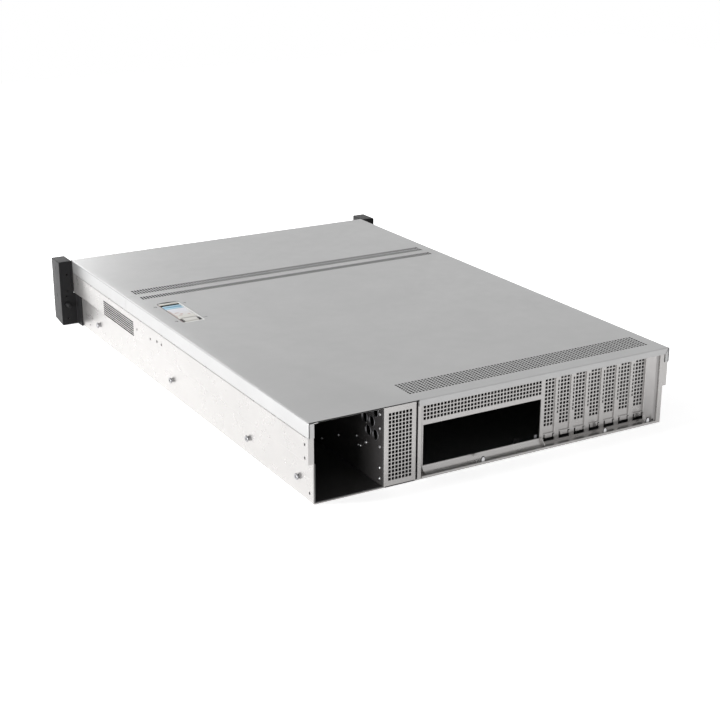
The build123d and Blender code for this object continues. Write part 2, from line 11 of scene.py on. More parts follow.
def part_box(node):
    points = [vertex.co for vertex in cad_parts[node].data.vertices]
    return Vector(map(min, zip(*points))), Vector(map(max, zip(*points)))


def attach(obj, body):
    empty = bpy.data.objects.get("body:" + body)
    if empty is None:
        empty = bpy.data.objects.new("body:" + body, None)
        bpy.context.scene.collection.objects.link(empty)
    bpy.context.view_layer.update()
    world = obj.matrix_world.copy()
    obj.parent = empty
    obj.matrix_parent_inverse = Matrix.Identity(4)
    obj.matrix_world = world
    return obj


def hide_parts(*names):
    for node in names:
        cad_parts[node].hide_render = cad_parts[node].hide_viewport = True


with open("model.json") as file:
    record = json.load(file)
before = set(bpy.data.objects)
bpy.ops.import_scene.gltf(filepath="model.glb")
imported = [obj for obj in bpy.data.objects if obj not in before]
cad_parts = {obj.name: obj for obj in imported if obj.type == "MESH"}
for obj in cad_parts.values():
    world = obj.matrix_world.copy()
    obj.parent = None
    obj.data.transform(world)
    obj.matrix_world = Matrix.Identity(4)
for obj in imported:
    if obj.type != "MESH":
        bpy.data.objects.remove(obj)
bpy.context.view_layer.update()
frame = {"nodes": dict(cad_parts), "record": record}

MM = 0.001
X_AXIS, Y_AXIS, Z_AXIS = (1, 0, 0), (0, 1, 0), (0, 0, 1)


def mm(*lengths):
    """Lengths in millimetres, as metres."""
    return tuple(length * MM for length in lengths)


# Sheet metal
SHEET = 1.2 * MM
COVER_SHEET = 1.0 * MM
BEND_STEPS = 5
CORNER_STEPS = 5
SKIN = 0.04 * MM  # sets two faces apart that would else lie in one plane
SHARP_ANGLE = math.radians(35)

# Places read from the frame
COVER_LOW, COVER_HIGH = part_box("rear_cover")
FRONT_LOW, FRONT_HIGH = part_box("front_cover")
BASE_LOW, BASE_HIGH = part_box("chassis_base")
WALL_LOW, WALL_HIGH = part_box("rear_wall")
PANEL_LOW, PANEL_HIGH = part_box("vent_panel")
BAY_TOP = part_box("bay_divider")[1].z
TUB_LOW, TUB_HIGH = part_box("latch_tub")
LEVER_LOW, LEVER_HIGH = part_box("latch_lever")
PIN_LOW, PIN_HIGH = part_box("latch_pin")
HALF_BODY = COVER_HIGH.x
TOP = COVER_HIGH.z
FLANGE_Z = COVER_LOW.z
FRAME_Y = BASE_HIGH.y

# The square perforation of the rear wall and the slot covers
HOLE = 2.95 * MM


# Materials

FINISHES = {}


def fill(node, sockets):
    """Gives a node's sockets their values, or a link where the value is another node's output."""
    for socket, value in sockets.items():
        if isinstance(value, bpy.types.NodeSocket):
            node.id_data.links.new(value, node.inputs[socket])
        else:
            node.inputs[socket].default_value = value


def add_node(tree, kind, sockets, output, **settings):
    """Adds a node with its sockets filled, and returns the named output."""
    node = tree.nodes.new("ShaderNode" + kind)
    for setting, value in settings.items():
        setattr(node, setting, value)
    fill(node, sockets)
    return node.outputs[output]


def material(name, color, roughness, metallic=0.0, **sockets):
    """A material, its nodes and its Principled shader. A socket's name has _ for each space."""
    made = FINISHES[name] = bpy.data.materials.new(name)
    made.use_nodes = True
    made.diffuse_color = (*color, 1)
    tree = made.node_tree
    shader = next(n for n in tree.nodes if n.type == "BSDF_PRINCIPLED")
    fill(shader, {"Base Color": (*color, 1), "Roughness": roughness, "Metallic": metallic})
    fill(shader, {socket.replace("_", " "): value for socket, value in sockets.items()})
    return made, tree, shader


def own_place(tree):
    """The object's own coordinates, in metres."""
    return add_node(tree, "TexCoord", {}, "Object")


def noise(tree, scale, detail=3.0, roughness=0.55, stretch=(1, 1, 1)):
    """A noise texture in the object's own coordinates, stretched along its axes."""
    place = add_node(tree, "Mapping", {"Vector": own_place(tree), "Scale": stretch}, "Vector")
    sockets = {"Vector": place, "Scale": scale, "Detail": detail, "Roughness": roughness}
    return add_node(tree, "TexNoise", sockets, "Fac")


def ramp(tree, value, low, high, start=0.3, end=0.7):
    """The value spread from one colour to another."""
    node = tree.nodes.new("ShaderNodeValToRGB")
    for element, place, color in zip(node.color_ramp.elements, (start, end), (low, high)):
        element.position = place
        element.color = (*color, 1)
    fill(node, {"Fac": value})
    return node.outputs["Color"]


def spread(tree, value, low, high, start=0.0, end=1.0):
    """The value mapped from start..end to low..high."""
    sockets = {"Value": value, "From Min": start, "From Max": end, "To Min": low, "To Max": high}
    return add_node(tree, "MapRange", sockets, "Result")


def bump(tree, height, strength, distance=0.0002):
    """The normal of a surface with that height."""
    return add_node(tree, "Bump", {"Height": height, "Strength": strength, "Distance": distance}, "Normal")


def varied(color, amount):
    """Two colours a little darker and a little lighter than the given one."""
    return tuple(c * (1 - amount) for c in color), tuple(min(1, c * (1 + amount)) for c in color)


def steel(name, color, roughness, metallic, grain=0.03, speck=900.0, **sockets):
    """Coated or zinc-plated sheet: cloudy colour, uneven gloss and a fine skin."""
    made, tree, shader = material(name, color, roughness, metallic, **sockets)
    fill(shader, {
        "Base Color": ramp(tree, noise(tree, scale=14.0, detail=4.0), *varied(color, grain)),
        "Roughness": spread(tree, noise(tree, scale=60.0), roughness - 0.05, roughness + 0.06),
        "Normal": bump(tree, noise(tree, speck, detail=2.0), strength=0.06),
    })
    return made


def plastic(name, color, roughness, depth=0.25, grain=0.06, **sockets):
    """Moulded plastic with a fine grain."""
    made, tree, shader = material(name, color, roughness, **sockets)
    fill(shader, {
        "Base Color": ramp(tree, noise(tree, scale=30.0), *varied(color, grain)),
        "Roughness": spread(tree, noise(tree, scale=200.0, detail=2.0), roughness - 0.06, roughness + 0.06),
        "Normal": bump(tree, noise(tree, scale=1400.0, detail=2.0), depth),
    })
    return made


def brushed(name, color, roughness):
    """Bare metal with a fine brushed grain along X."""
    made, tree, shader = material(name, color, roughness, metallic=1.0)
    strokes = noise(tree, scale=120.0, roughness=0.6, stretch=(1, 40, 40))
    fill(shader, {
        "Base Color": ramp(tree, strokes, *varied(color, 0.08)),
        "Roughness": spread(tree, strokes, roughness - 0.08, roughness + 0.1),
        "Normal": bump(tree, strokes, strength=0.08, distance=0.0001),
    })
    return made


def circuit_board(name, color):
    """Solder mask with faint traces under it."""
    made, tree, shader = material(name, color, roughness=0.35)
    cells = {"Vector": own_place(tree), "Scale": 160.0}
    traces = add_node(tree, "TexVoronoi", cells, "Distance", distance="MANHATTAN")
    fill(shader, {
        "Base Color": ramp(tree, traces, *varied(color, 0.3), start=0.1, end=0.5),
        "Normal": bump(tree, traces, strength=0.1),
    })
    return made


def faded(name, first, last, start, end):
    """A surface whose colour turns slowly from one to the other along the object's Y."""
    made, tree, shader = material(name, first, roughness=0.4)
    y = add_node(tree, "SeparateXYZ", {"Vector": own_place(tree)}, "Y")
    along = spread(tree, y, 0.0, 1.0, start, end)
    fill(shader, {
        "Base Color": ramp(tree, along, first, last, start=0.0, end=1.0),
        "Normal": bump(tree, noise(tree, scale=1600.0, detail=2.0), strength=0.05, distance=0.0001),
    })
    return made


COVER = steel("cover_steel", (0.40, 0.40, 0.40), 0.36, 0.8)
CASE = steel("case_steel", (0.42, 0.41, 0.403), 0.28, 0.85)
# A darker, cloudier copy of the case steel: painted shade and reflection on the slanted side of the rear
# recess.
RECESS_SHADE_STEEL = steel("recess_painted_shade_steel", (0.27, 0.262, 0.26), 0.3, 0.8, 0.16, 420.0)
# The bay's black coat is painted shade: it stands for the darkness inside the power supply bay.
steel("black_steel", (0.042, 0.040, 0.040), 0.32, 0.0, 0.1)
EAR_STEEL = steel("ear_steel", (0.010, 0.010, 0.0105), 0.42, 0.0, 0.1, Specular_IOR_Level=0.1)
# A black insulating film on the floor; its black also stands for the shade inside the case, so it is partly
# painted shade.
plastic("black_film", (0.010, 0.010, 0.010), 0.5, depth=0.05)
BLACK_PLASTIC = plastic("black_plastic", (0.013, 0.013, 0.0135), 0.5, Specular_IOR_Level=0.2)
HANDLE_PLASTIC = plastic("handle_plastic", (0.045, 0.045, 0.047), 0.42)
WHITE_PLASTIC = plastic("white_plastic", (0.78, 0.78, 0.77), 0.35, depth=0.1, grain=0.02)
LEVER_PLASTIC = plastic("lever_plastic", (0.56, 0.55, 0.52), 0.35, depth=0.1, grain=0.02)
BLUE_PLASTIC = plastic("blue_plastic", (0.13, 0.37, 0.55), 0.35, depth=0.1, grain=0.04)
PALE_BLUE = plastic("pale_blue_plastic", (0.30, 0.47, 0.57), 0.35, depth=0.1, grain=0.04)
LEDGE_PLASTIC = plastic("ledge_plastic", (0.44, 0.43, 0.38), 0.4, depth=0.1, grain=0.03)
# Dark reddish brown: painted shade on the tub's +X inner wall, which faces away from the light.
RIM_SHADE_BROWN = plastic("rim_painted_shade_brown", (0.16, 0.115, 0.11), 0.45, depth=0.05)
FIELD_RED = plastic("print_red", (0.42, 0.26, 0.24), 0.45, depth=0.05)
FIELD_PALE = faded("latch_label", (0.60, 0.60, 0.65), (0.55, 0.54, 0.50), *mm(-44.0, -20.0))
BUTTON_PLASTIC = plastic("button_plastic", (0.30, 0.30, 0.31), 0.3, depth=0.1)
RIM_STEEL = steel("rim_steel", (0.20, 0.20, 0.21), 0.28, 0.7, 0.08)
BRIGHT = brushed("bright_steel", (0.62, 0.62, 0.63), 0.3)
SCREW_STEEL = brushed("screw_steel", (0.30, 0.30, 0.31), 0.34)
# Near-black steel is painted shade: it darkens the walls of holes and slots, the gaps behind the rear tabs
# and the rings round the cover rivets.
PAINTED_SHADE_STEEL = steel("painted_shade_steel", (0.022, 0.022, 0.022), 0.5, 0.0, 0.1, Specular_IOR_Level=0.2)
DARK_SCREW = steel("dark_screw", (0.022, 0.022, 0.023), 0.45, 0.0, 0.1, Specular_IOR_Level=0.3)
steel("standoff_steel", (0.05, 0.05, 0.05), 0.4, 0.4, 0.1)
circuit_board("board_green", (0.02, 0.09, 0.045))


# Outlines, as lists of (u, v) points

def rectangle(low_u, high_u, low_v, high_v):
    return [(low_u, low_v), (high_u, low_v), (high_u, high_v), (low_u, high_v)]


def span(middle, half):
    return middle - half, middle + half


def square(u, v, size_u, size_v=None):
    return rectangle(*span(u, size_u / 2), *span(v, (size_v or size_u) / 2))


def arc(u, v, radius, turns):
    return [(u + radius * math.cos(t), v + radius * math.sin(t)) for t in turns]


def disc(u, v, radius, steps=16):
    return arc(u, v, radius, [2 * math.pi * i / steps for i in range(steps)])


def corner_arc(u, v, radius, quarter):
    """A quarter of a circle, after that many quarter turns."""
    return arc(u, v, radius, [math.pi / 2 * (quarter + i / CORNER_STEPS) for i in range(CORNER_STEPS + 1)])


def rounded(low_u, high_u, low_v, high_v, radius, inset=0.0):
    """A rectangle with rounded corners, drawn in by the inset. The count of its points doesn't change."""
    reach = max(radius - inset, 0.02 * MM)
    drawn = inset + reach
    corners = rectangle(high_u - drawn, low_u + drawn, high_v - drawn, low_v + drawn)
    return [point for i, (u, v) in enumerate(corners) for point in corner_arc(u, v, reach, i)]


def arch(x, half, top):
    """A half-round tab that stands on the floor."""
    round_end = disc(x, 0, half)[:9]
    rise = 1.6
    return [(x - half, SHEET), (x + half, SHEET)] + [(u, top - half * rise + v * rise) for u, v in round_end]


def grid(low_u, high_u, columns, low_v, high_v, rows, size_u, size_v=None):
    """Holes in columns and rows, with the outer ones' middles on the given lines."""
    step_u = (high_u - low_u) / max(columns - 1, 1)
    step_v = (high_v - low_v) / max(rows - 1, 1)
    return [
        square(low_u + step_u * i, low_v + step_v * j, size_u, size_v)
        for i in range(columns)
        for j in range(rows)
    ]


# Placements: each turns u, v and t, which is square to the outline, into a point of the frame

def lying(u, v, t):
    """For an outline seen from above."""
    return Vector((u, v, t))


def facing_rear(u, v, t):
    """For an outline seen from the rear."""
    return Vector((u, t, v))


def sideways(u, v, t):
    """For an outline seen along X."""
    return Vector((t, u, v))


# Bent sheets

class Fold:
    """The line that a bent sheet follows in its section: straight runs joined by arcs."""

    def __init__(self, corners, radius):
        points = [Vector(c) for c in corners]
        self.runs = []
        self.arcs = []
        reach = 0.0
        start = points[0]
        for before, corner, after in zip(points, points[1:], points[2:]):
            into, out = (corner - before).normalized(), (after - corner).normalized()
            turn = math.atan2(into.x * out.y - into.y * out.x, into.dot(out))
            trim = radius * math.tan(abs(turn) / 2)
            end = corner - into * trim
            reach = self.add_run(start, end, reach)
            centre = end + Vector((-into.y, into.x)) * math.copysign(radius, turn)
            length = radius * abs(turn)
            self.arcs.append((reach, reach + length, centre, end - centre, turn))
            reach += length
            start = corner + out * trim
        self.length = self.add_run(start, points[-1], reach)

    def add_run(self, start, end, reach):
        direction = (end - start).normalized()
        self.runs.append((reach, reach + (end - start).length, start, direction))
        return self.runs[-1][1]

    def along(self, run, axis, value):
        """How far along the line the given coordinate lies, on that straight run."""
        reach, _, start, direction = self.runs[run]
        return reach + (value - start[axis]) / direction[axis]

    def at(self, reach):
        """The point there and the direction square to the sheet."""
        for low, high, centre, arm, turn in self.arcs:
            if low < reach < high:
                out = Matrix.Rotation(turn * (reach - low) / (high - low), 2) @ arm
                return centre + out, out.normalized() * -math.copysign(1, turn)
        low, _, start, direction = min(self.runs, key=lambda r: max(r[0] - reach, reach - r[1], 0))
        return start + direction * (reach - low), Vector((-direction.y, direction.x))


def blank(outline, holes, thickness, edge=0.0):
    """A flat sheet with its holes cut out, lying in the u-v plane and centred on it."""
    curve = bpy.data.curves.new("blank", "CURVE")
    curve.dimensions = "2D"
    curve.fill_mode = "BOTH"
    curve.extrude = thickness / 2 - edge
    curve.bevel_depth = edge
    curve.bevel_resolution = 0
    curve.offset = -edge
    for loop in [outline, *holes]:
        spline = curve.splines.new("POLY")
        spline.points.add(len(loop) - 1)
        for point, (u, v) in zip(spline.points, loop):
            point.co = (u, v, 0, 1)
        spline.use_cyclic_u = True
    carrier = bpy.data.objects.new("blank", curve)
    mesh = bpy.data.meshes.new_from_object(carrier)
    bpy.data.objects.remove(carrier)
    bpy.data.curves.remove(curve)
    bm = bmesh.new()
    bm.from_mesh(mesh)
    bpy.data.meshes.remove(mesh)
    bmesh.ops.remove_doubles(bm, verts=bm.verts, dist=1e-6)
    return bm


def cut_across(bm, axis, place, dist=0.0):
    """Divides the mesh by a plane square to the axis."""
    everything = bm.verts[:] + bm.edges[:] + bm.faces[:]
    bmesh.ops.bisect_plane(bm, geom=everything, dist=dist, plane_co=Vector(axis) * place, plane_no=axis)


def bend(bm, fold, place):
    """Lays the flat sheet along a fold. The fold's section gives u and v, and the sheet's v gives t."""
    for low, high, *_ in fold.arcs:
        for step in range(BEND_STEPS + 1):
            cut_across(bm, X_AXIS, low + (high - low) * step / BEND_STEPS)
    for vertex in bm.verts:
        point, normal = fold.at(vertex.co.x)
        vertex.co = place(*(point + normal * vertex.co.z), vertex.co.y)


# Other forms

def skin(bm, loops, place, ring=False, caps=True):
    """Joins loops of equally many points, each a (points, t) pair, to a ring or a form with capped ends."""
    rings = [[bm.verts.new(place(u, v, t)) for u, v in points] for points, t in loops]
    for low, high in zip(rings, rings[1:] + rings[:1] if ring else rings[1:]):
        for i in range(len(low)):
            bm.faces.new([low[i - 1], low[i], high[i], high[i - 1]])
    if caps and not ring:
        bm.faces.new(rings[0])
        bm.faces.new(rings[-1])


def prism(bm, outline, low, high, place):
    """Adds a plate of the outline's form, from low to high in t."""
    skin(bm, [(outline, low), (outline, high)], place)


def box(bm, low, high, edge=0.0):
    """Adds a block to the mesh, with its edges broken."""
    low, high = Vector(low), Vector(high)
    made = bmesh.ops.create_cube(bm, size=1, matrix=Matrix.LocRotScale((low + high) / 2, None, high - low))
    if edge:
        edges = list({e for v in made["verts"] for e in v.link_edges})
        bmesh.ops.bevel(bm, geom=edges, offset=edge, segments=2, affect="EDGES", profile=0.6)


def turned(bm, profile, origin, axis, steps=32):
    """Adds a turned form. The profile has pairs of distance along the axis and radius, in millimetres."""
    axis = Vector(axis)
    side = axis.orthogonal().normalized()
    turns = [2 * math.pi * i / steps for i in range(steps)]
    arms = [side * math.cos(t) + axis.cross(side) * math.sin(t) for t in turns]
    rings = []
    for along, radius in profile:
        centre = Vector(origin) + axis * along * MM
        ring = [bm.verts.new(centre + arm * radius * MM) for arm in (arms if radius else arms[:1])]
        rings.append(ring if radius else ring * steps)
    for low, high in zip(rings, rings[1:]):
        for i in range(steps):
            corners = list(dict.fromkeys((low[i - 1], low[i], high[i], high[i - 1])))
            if len(corners) > 2:
                bm.faces.new(corners)


def screw_head(bm, origin, axis, radius, height=1.0, steps=20):
    """A low domed head with a socket. Its radius and height are in millimetres."""
    profile = [
        (0, radius), (height * 0.55, radius), (height * 0.85, radius * 0.9), (height, radius * 0.72),
        (height, radius * 0.42), (height * 0.35, radius * 0.36), (height * 0.35, 0),
    ]
    turned(bm, profile, origin, axis, steps)


def lever_block(bm, low_x, high_x, low_y, high_y, top, thickness, radius):
    """A flat block with rounded corners and a rounded upper edge."""
    outline = (low_x, high_x, low_y, high_y, radius)
    edge, shoulder = mm(0.6, 0.18)
    loops = [
        (rounded(*outline), top - thickness),
        (rounded(*outline), top - edge),
        (rounded(*outline, inset=shoulder), top - shoulder),
        (rounded(*outline, inset=edge), top),
    ]
    skin(bm, loops, lying)


def moved(bm, place):
    """Lays a flat mesh where place puts its (u, v, t) points."""
    for vertex in bm.verts:
        vertex.co = place(*vertex.co)
    return bm


def joined(bm, other):
    """Adds another mesh to this one."""
    carrier = bpy.data.meshes.new("joined")
    other.to_mesh(carrier)
    other.free()
    bm.from_mesh(carrier)
    bpy.data.meshes.remove(carrier)


# Finished pieces

def mark_second_finish(bm, inside):
    """Gives the faces that inside names by centre and normal the second finish."""
    bm.normal_update()
    for face in bm.faces:
        if inside(face.calc_center_median(), face.normal):
            face.material_index = 1


def in_scene(name, data):
    """A new object, linked to the scene."""
    made = bpy.data.objects.new(name, data)
    bpy.context.scene.collection.objects.link(made)
    return made


def finished(name, bm, looks, body="case", node=None, second_finish=None):
    """Turns the mesh into a piece that rides on its body, and stands for a CAD node where one is named."""
    bmesh.ops.recalc_face_normals(bm, faces=bm.faces)
    for face in bm.faces:
        face.smooth = True
    for edge in bm.edges:
        if len(edge.link_faces) != 2 or edge.calc_face_angle(0) > SHARP_ANGLE:
            edge.smooth = False
    mesh = bpy.data.meshes.new(name)
    bm.to_mesh(mesh)
    bm.free()
    mesh.materials.append(looks)
    if second_finish:
        mesh.materials.append(second_finish)
    piece = in_scene(name, mesh)
    if node:
        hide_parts(node)
    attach(piece, body)


# Covers

COVER_BEND = 1.0 * MM
MIDDLE_X = HALF_BODY - COVER_SHEET / 2
MIDDLE_TOP = TOP - COVER_SHEET / 2
BAND_HALF = 206.3 * MM
BAND_SLOT_WIDTH = 2.05 * MM
BAND_COLUMNS = round(2 * BAND_HALF / (3.62 * MM)) + 1
BAND_ROW_GAP = 1.6 * MM
FRONT_BAND = mm(-143.9, -125.4)
REAR_BAND = mm(-113.5, -102.9)
VENT_X = mm(-207.0, 96.7)
VENT_Y = mm(302.6, 329.8)
VENT_COLUMNS, VENT_ROWS = 78, 8
VENT_HOLE = 2.5 * MM
LIP_X = mm(-221.5, 98.3)
LIP_DEPTH = 7.1 * MM
LIP_BEND = 0.6 * MM
LIP_RELIEF = 0.6 * MM
FRONT_LIP_HALF = 210.0 * MM
FRONT_LIP_DEPTH = 3.0 * MM
MITRE_X = -218.0 * MM
RETURN_GAP = 0.5 * MM
LATCH_X, LATCH_Y, _ = (TUB_LOW + TUB_HIGH) / 2
LATCH_WIDTH = 28.0 * MM
LATCH_LENGTH = 81.0 * MM
LATCH_CORNER = 2.6 * MM
COVER_RIVETS = [mm(*place) for place in ((206.7, -65.4), (206.3, -2.9), (169.2, -65.5), (169.0, -3.2))]
RIVET_HOLE = 1.75 * MM


def cover_fold():
    corners = [
        (-MIDDLE_X, FLANGE_Z), (-MIDDLE_X, MIDDLE_TOP), (MIDDLE_X, MIDDLE_TOP), (MIDDLE_X, FLANGE_Z),
    ]
    return Fold(corners, COVER_BEND)


def latch_outline():
    """The latch opening: straight sides, small corners, and a bow at each end."""
    half = LATCH_WIDTH / 2 - LATCH_CORNER
    points = []
    for quarter, end, reach, bow in ((2, -1, 41.5 * MM, 2.6 * MM), (0, 1, LATCH_LENGTH / 2, 0.5 * MM)):
        v = end * (reach - LATCH_CORNER)
        points += corner_arc(end * half, v, LATCH_CORNER, quarter)
        for step in range(1, 8):
            across = 1 - step / 4
            points.append((end * half * across, end * (reach + bow * (1 - across ** 2))))
        points += corner_arc(-end * half, v, LATCH_CORNER, quarter + 1)
    return points


def band(middle, low, high, rows, gap=0.0):
    """Rows of slots across the lid."""
    row = (high - low) / rows
    ends = low + row / 2, high - row / 2
    return grid(*span(middle, BAND_HALF), BAND_COLUMNS, *ends, rows, BAND_SLOT_WIDTH, row - gap)


def in_cover_vents(centre, normal):
    """Whether a face is a wall of the lid's slots or vents, and not the edge where the covers meet."""
    bands = ((FRONT_BAND[0] - MM, REAR_BAND[1] + MM), (VENT_Y[0] - 3 * MM, VENT_Y[1] + 3 * MM))
    return (
        abs(centre.x) < BAND_HALF + 3 * MM
        and abs(normal.z) < 0.5
        and any(low < centre.y < high for low, high in bands)
        and centre.z > TOP - 1.1 * MM
        and min(abs(centre.y - FRONT_HIGH.y), abs(centre.y - COVER_LOW.y)) > 0.3 * MM
    )


def make_front_cover():
    fold = cover_fold()
    holes = band(fold.along(1, 0, 0.0), *FRONT_BAND, 2, BAND_ROW_GAP)
    front = FRONT_LOW.y
    bm = blank(rectangle(0, fold.length, front, FRONT_HIGH.y), holes, COVER_SHEET)
    bend(bm, fold, facing_rear)
    lip_end = (FRONT_LIP_HALF, front + COVER_SHEET, TOP - COVER_SHEET)
    box(bm, (-FRONT_LIP_HALF, front, TOP - FRONT_LIP_DEPTH), lip_end)
    # The walls of the lid's slots take the painted shade.
    mark_second_finish(bm, in_cover_vents)
    finished("front_cover_sheet", bm, COVER, node="front_cover", second_finish=PAINTED_SHADE_STEEL)


def make_rear_cover():
    fold = cover_fold()
    middle = fold.along(1, 0, 0.0)
    start, end = COVER_LOW.y, COVER_HIGH.y
    lip_low, lip_high = middle + LIP_X[0], middle + LIP_X[1]
    lip_start = end - COVER_SHEET / 2 - LIP_BEND
    lip_end = lip_start + LIP_BEND * math.pi / 2 + LIP_DEPTH - COVER_SHEET / 2 - LIP_BEND
    relief = lip_start - 0.2 * MM
    outline = [
        (0, start), (fold.length, start), (fold.length, end),
        (lip_high + LIP_RELIEF, end), (lip_high + LIP_RELIEF, relief), (lip_high, relief),
        (lip_high, lip_end), (middle + MITRE_X, lip_end), (lip_low, lip_start + LIP_BEND),
        (lip_low, relief), (lip_low - LIP_RELIEF / 2, relief), (lip_low - LIP_RELIEF / 2, end), (0, end),
    ]
    holes = band(middle, *REAR_BAND, 1)
    holes += grid(middle + VENT_X[0], middle + VENT_X[1], VENT_COLUMNS, *VENT_Y, VENT_ROWS, VENT_HOLE)
    holes.append([(middle + LATCH_X + u, LATCH_Y + v) for u, v in latch_outline()])
    holes += [disc(middle + x, y, RIVET_HOLE) for x, y in COVER_RIVETS]
    bm = blank(outline, holes, COVER_SHEET)
    fold_lip(bm, lip_low - 0.1 * MM, lip_high + 0.1 * MM, lip_start)
    bend(bm, fold, facing_rear)
    cover_returns(bm)
    # The walls of the lid's slots and vents take the painted shade.
    mark_second_finish(bm, in_cover_vents)
    finished("rear_cover_sheet", bm, COVER, "cover", "rear_cover", PAINTED_SHADE_STEEL)


def fold_lip(bm, low, high, start):
    """Bends what lies past start down by a quarter turn, and leaves the corners beside low..high."""
    held = {v: v.co.copy() for v in bm.verts if not low < v.co.x < high}
    quarter = LIP_BEND * math.pi / 2
    for step in range(BEND_STEPS + 1):
        cut_across(bm, Y_AXIS, start + quarter * step / BEND_STEPS)
    for vertex in bm.verts:
        past = vertex.co.y - start
        if past > 0:
            turn = min(past / quarter, 1) * math.pi / 2
            t = vertex.co.z + LIP_BEND
            vertex.co.y = start + t * math.sin(turn)
            vertex.co.z = t * math.cos(turn) - LIP_BEND - max(past - quarter, 0)
    for vertex, place in held.items():
        vertex.co = place


def cover_returns(bm):
    """The short returns at the rear ends of the side flanges."""
    inner = HALF_BODY - COVER_SHEET
    corner = MITRE_X - RETURN_GAP
    right = rectangle(HALF_LOWER - SHEET, inner, FLANGE_Z, TOP - COVER_SHEET - RETURN_GAP)
    left = [
        (-inner, FLANGE_Z), (corner, FLANGE_Z), (corner, TOP - LIP_DEPTH), (-inner, TOP - COVER_SHEET),
    ]
    for outline in (right, left):
        prism(bm, outline, COVER_HIGH.y - COVER_SHEET, COVER_HIGH.y, facing_rear)


# The folded case

STEP_Z = 42.9 * MM
RIM_Z = BASE_HIGH.z
RIM_WIDTH = 9.8 * MM
HALF_LOWER = HALF_BODY - 5.0 * MM
HALF_RIM = HALF_BODY - COVER_SHEET - 0.2 * MM
SHOULDER_Z = FLANGE_Z - 0.4 * MM
BASE_BEND = 0.9 * MM
SIDE_POST = -212.2 * MM
FLOOR_LIP = 2.7 * MM
SIDE_VENT_Z = mm(44.95, 61.45)
SIDE_VENT_Y = -149.7 * MM
SIDE_VENT_ROWS = 7
SIDE_VENT_SIZE = mm(1.7, 101.0)
SIDE_HOLES = (
    (-87.7, 55.8, 1.5), (-46.2, 55.7, 1.5), (-25.4, 58.7, 1.8),
    (-11.6, 58.7, 1.8), (341.6, 62.2, 1.6), (341.6, 48.0, 1.6),
)
LOWER_HOLES = ((341.4, 9.6, 1.6), (-269.0, 9.6, 1.3))


def in_side_vents(centre, normal):
    return abs(normal.x) < 0.5 and abs(centre.x) > HALF_BODY - SHEET and (
        -205 * MM < centre.y < -95 * MM and STEP_Z + MM < centre.z < SHOULDER_Z - 2 * MM
    )


def make_base():
    half = SHEET / 2
    side = [
        (HALF_LOWER - half, half), (HALF_LOWER - half, STEP_Z + half), (HALF_BODY - half, STEP_Z + half),
        (HALF_BODY - half, SHOULDER_Z - half), (HALF_RIM - half, SHOULDER_Z - half),
        (HALF_RIM - half, RIM_Z - half), (HALF_RIM - RIM_WIDTH, RIM_Z - half),
    ]
    fold = Fold([(-x, z) for x, z in reversed(side)] + side, BASE_BEND)
    right_runs, left_runs = (7, 9), (5, 3)
    holes = []
    for lower, upper in (right_runs, left_runs):
        vents = [fold.along(upper, 1, z) for z in SIDE_VENT_Z]
        holes += grid(*vents, SIDE_VENT_ROWS, SIDE_VENT_Y, SIDE_VENT_Y, 1, *SIDE_VENT_SIZE)
        for run, rows in ((upper, SIDE_HOLES), (lower, LOWER_HOLES)):
            holes += [disc(fold.along(run, 1, z * MM), y * MM, radius * MM, 12) for y, z, radius in rows]
    bm = blank(rectangle(0, fold.length, BASE_LOW.y, FRAME_Y), holes, SHEET)
    bend(bm, fold, facing_rear)
    rear_strips(bm)
    # The walls of the side vents take the painted shade.
    mark_second_finish(bm, in_side_vents)
    finished("case_sheet", bm, CASE, node="chassis_base", second_finish=PAINTED_SHADE_STEEL)


def rear_strips(bm):
    """The flanges that stand at the rear end of the folded case."""
    high = TOP - LIP_DEPTH - 0.2 * MM
    side_post = [
        (-HALF_LOWER, 0.0), (SIDE_POST, 0.0), (SIDE_POST, high), (-HALF_LOWER, high),
        (-HALF_LOWER, SHOULDER_Z), (-HALF_BODY, SHOULDER_Z), (-HALF_BODY, STEP_Z), (-HALF_LOWER, STEP_Z),
    ]
    floor_lip = rectangle(SIDE_POST, POST[0], SHEET / 2, FLOOR_LIP)
    right_strip = rectangle(HALF_LOWER - SHEET, HALF_BODY, STEP_Z, SHOULDER_Z)
    for outline in (side_post, floor_lip, right_strip):
        held_in = [(math.copysign(min(abs(x), HALF_BODY - SKIN), x), z) for x, z in outline]
        prism(bm, held_in, FRAME_Y - SHEET, FRAME_Y + SKIN, facing_rear)


# The rear wall

WALL_Y = FRAME_Y - 11.2 * MM
WALL_BEND = 1.2 * MM
POST = mm(93.4, 98.7)
RECESS_X = -202.6 * MM
RECESS_FLARE = 6.0 * MM
SHELF_Z = 80.0 * MM
IO_OPENING = mm(-61.5, 85.4, 8.8, 53.3)
STRIP_X = mm(-59.6, 83.8)
STRIP_Z = mm(60.05, 72.35)
STRIP_COLUMNS, STRIP_ROWS = 36, 4
FIRST_SLOT = -72.95 * MM
SLOT_STEP = 20.32 * MM
SLOT_COUNT = 7
SLOT_OPENING = 14.3 * MM
SLOT_LOW = 12.4 * MM
BAR_SHIFT = -0.9 * MM
BAR_Z = mm(34.7, 69.3)
BAR_ROWS = 9
BAR_HOLE_WIDTH = 1.7 * MM
TAIL_SHIFT = -1.0 * MM
TAIL_HALF = 7.2 * MM
TAIL_Z = mm(3.4, 7.3, 11.4)
NARROW_NIB = 1.8 * MM
WIDE_NIB = 2.8 * MM


def slot_x(number):
    """The middle of an expansion slot, counted from nought."""
    return FIRST_SLOT - SLOT_STEP * number


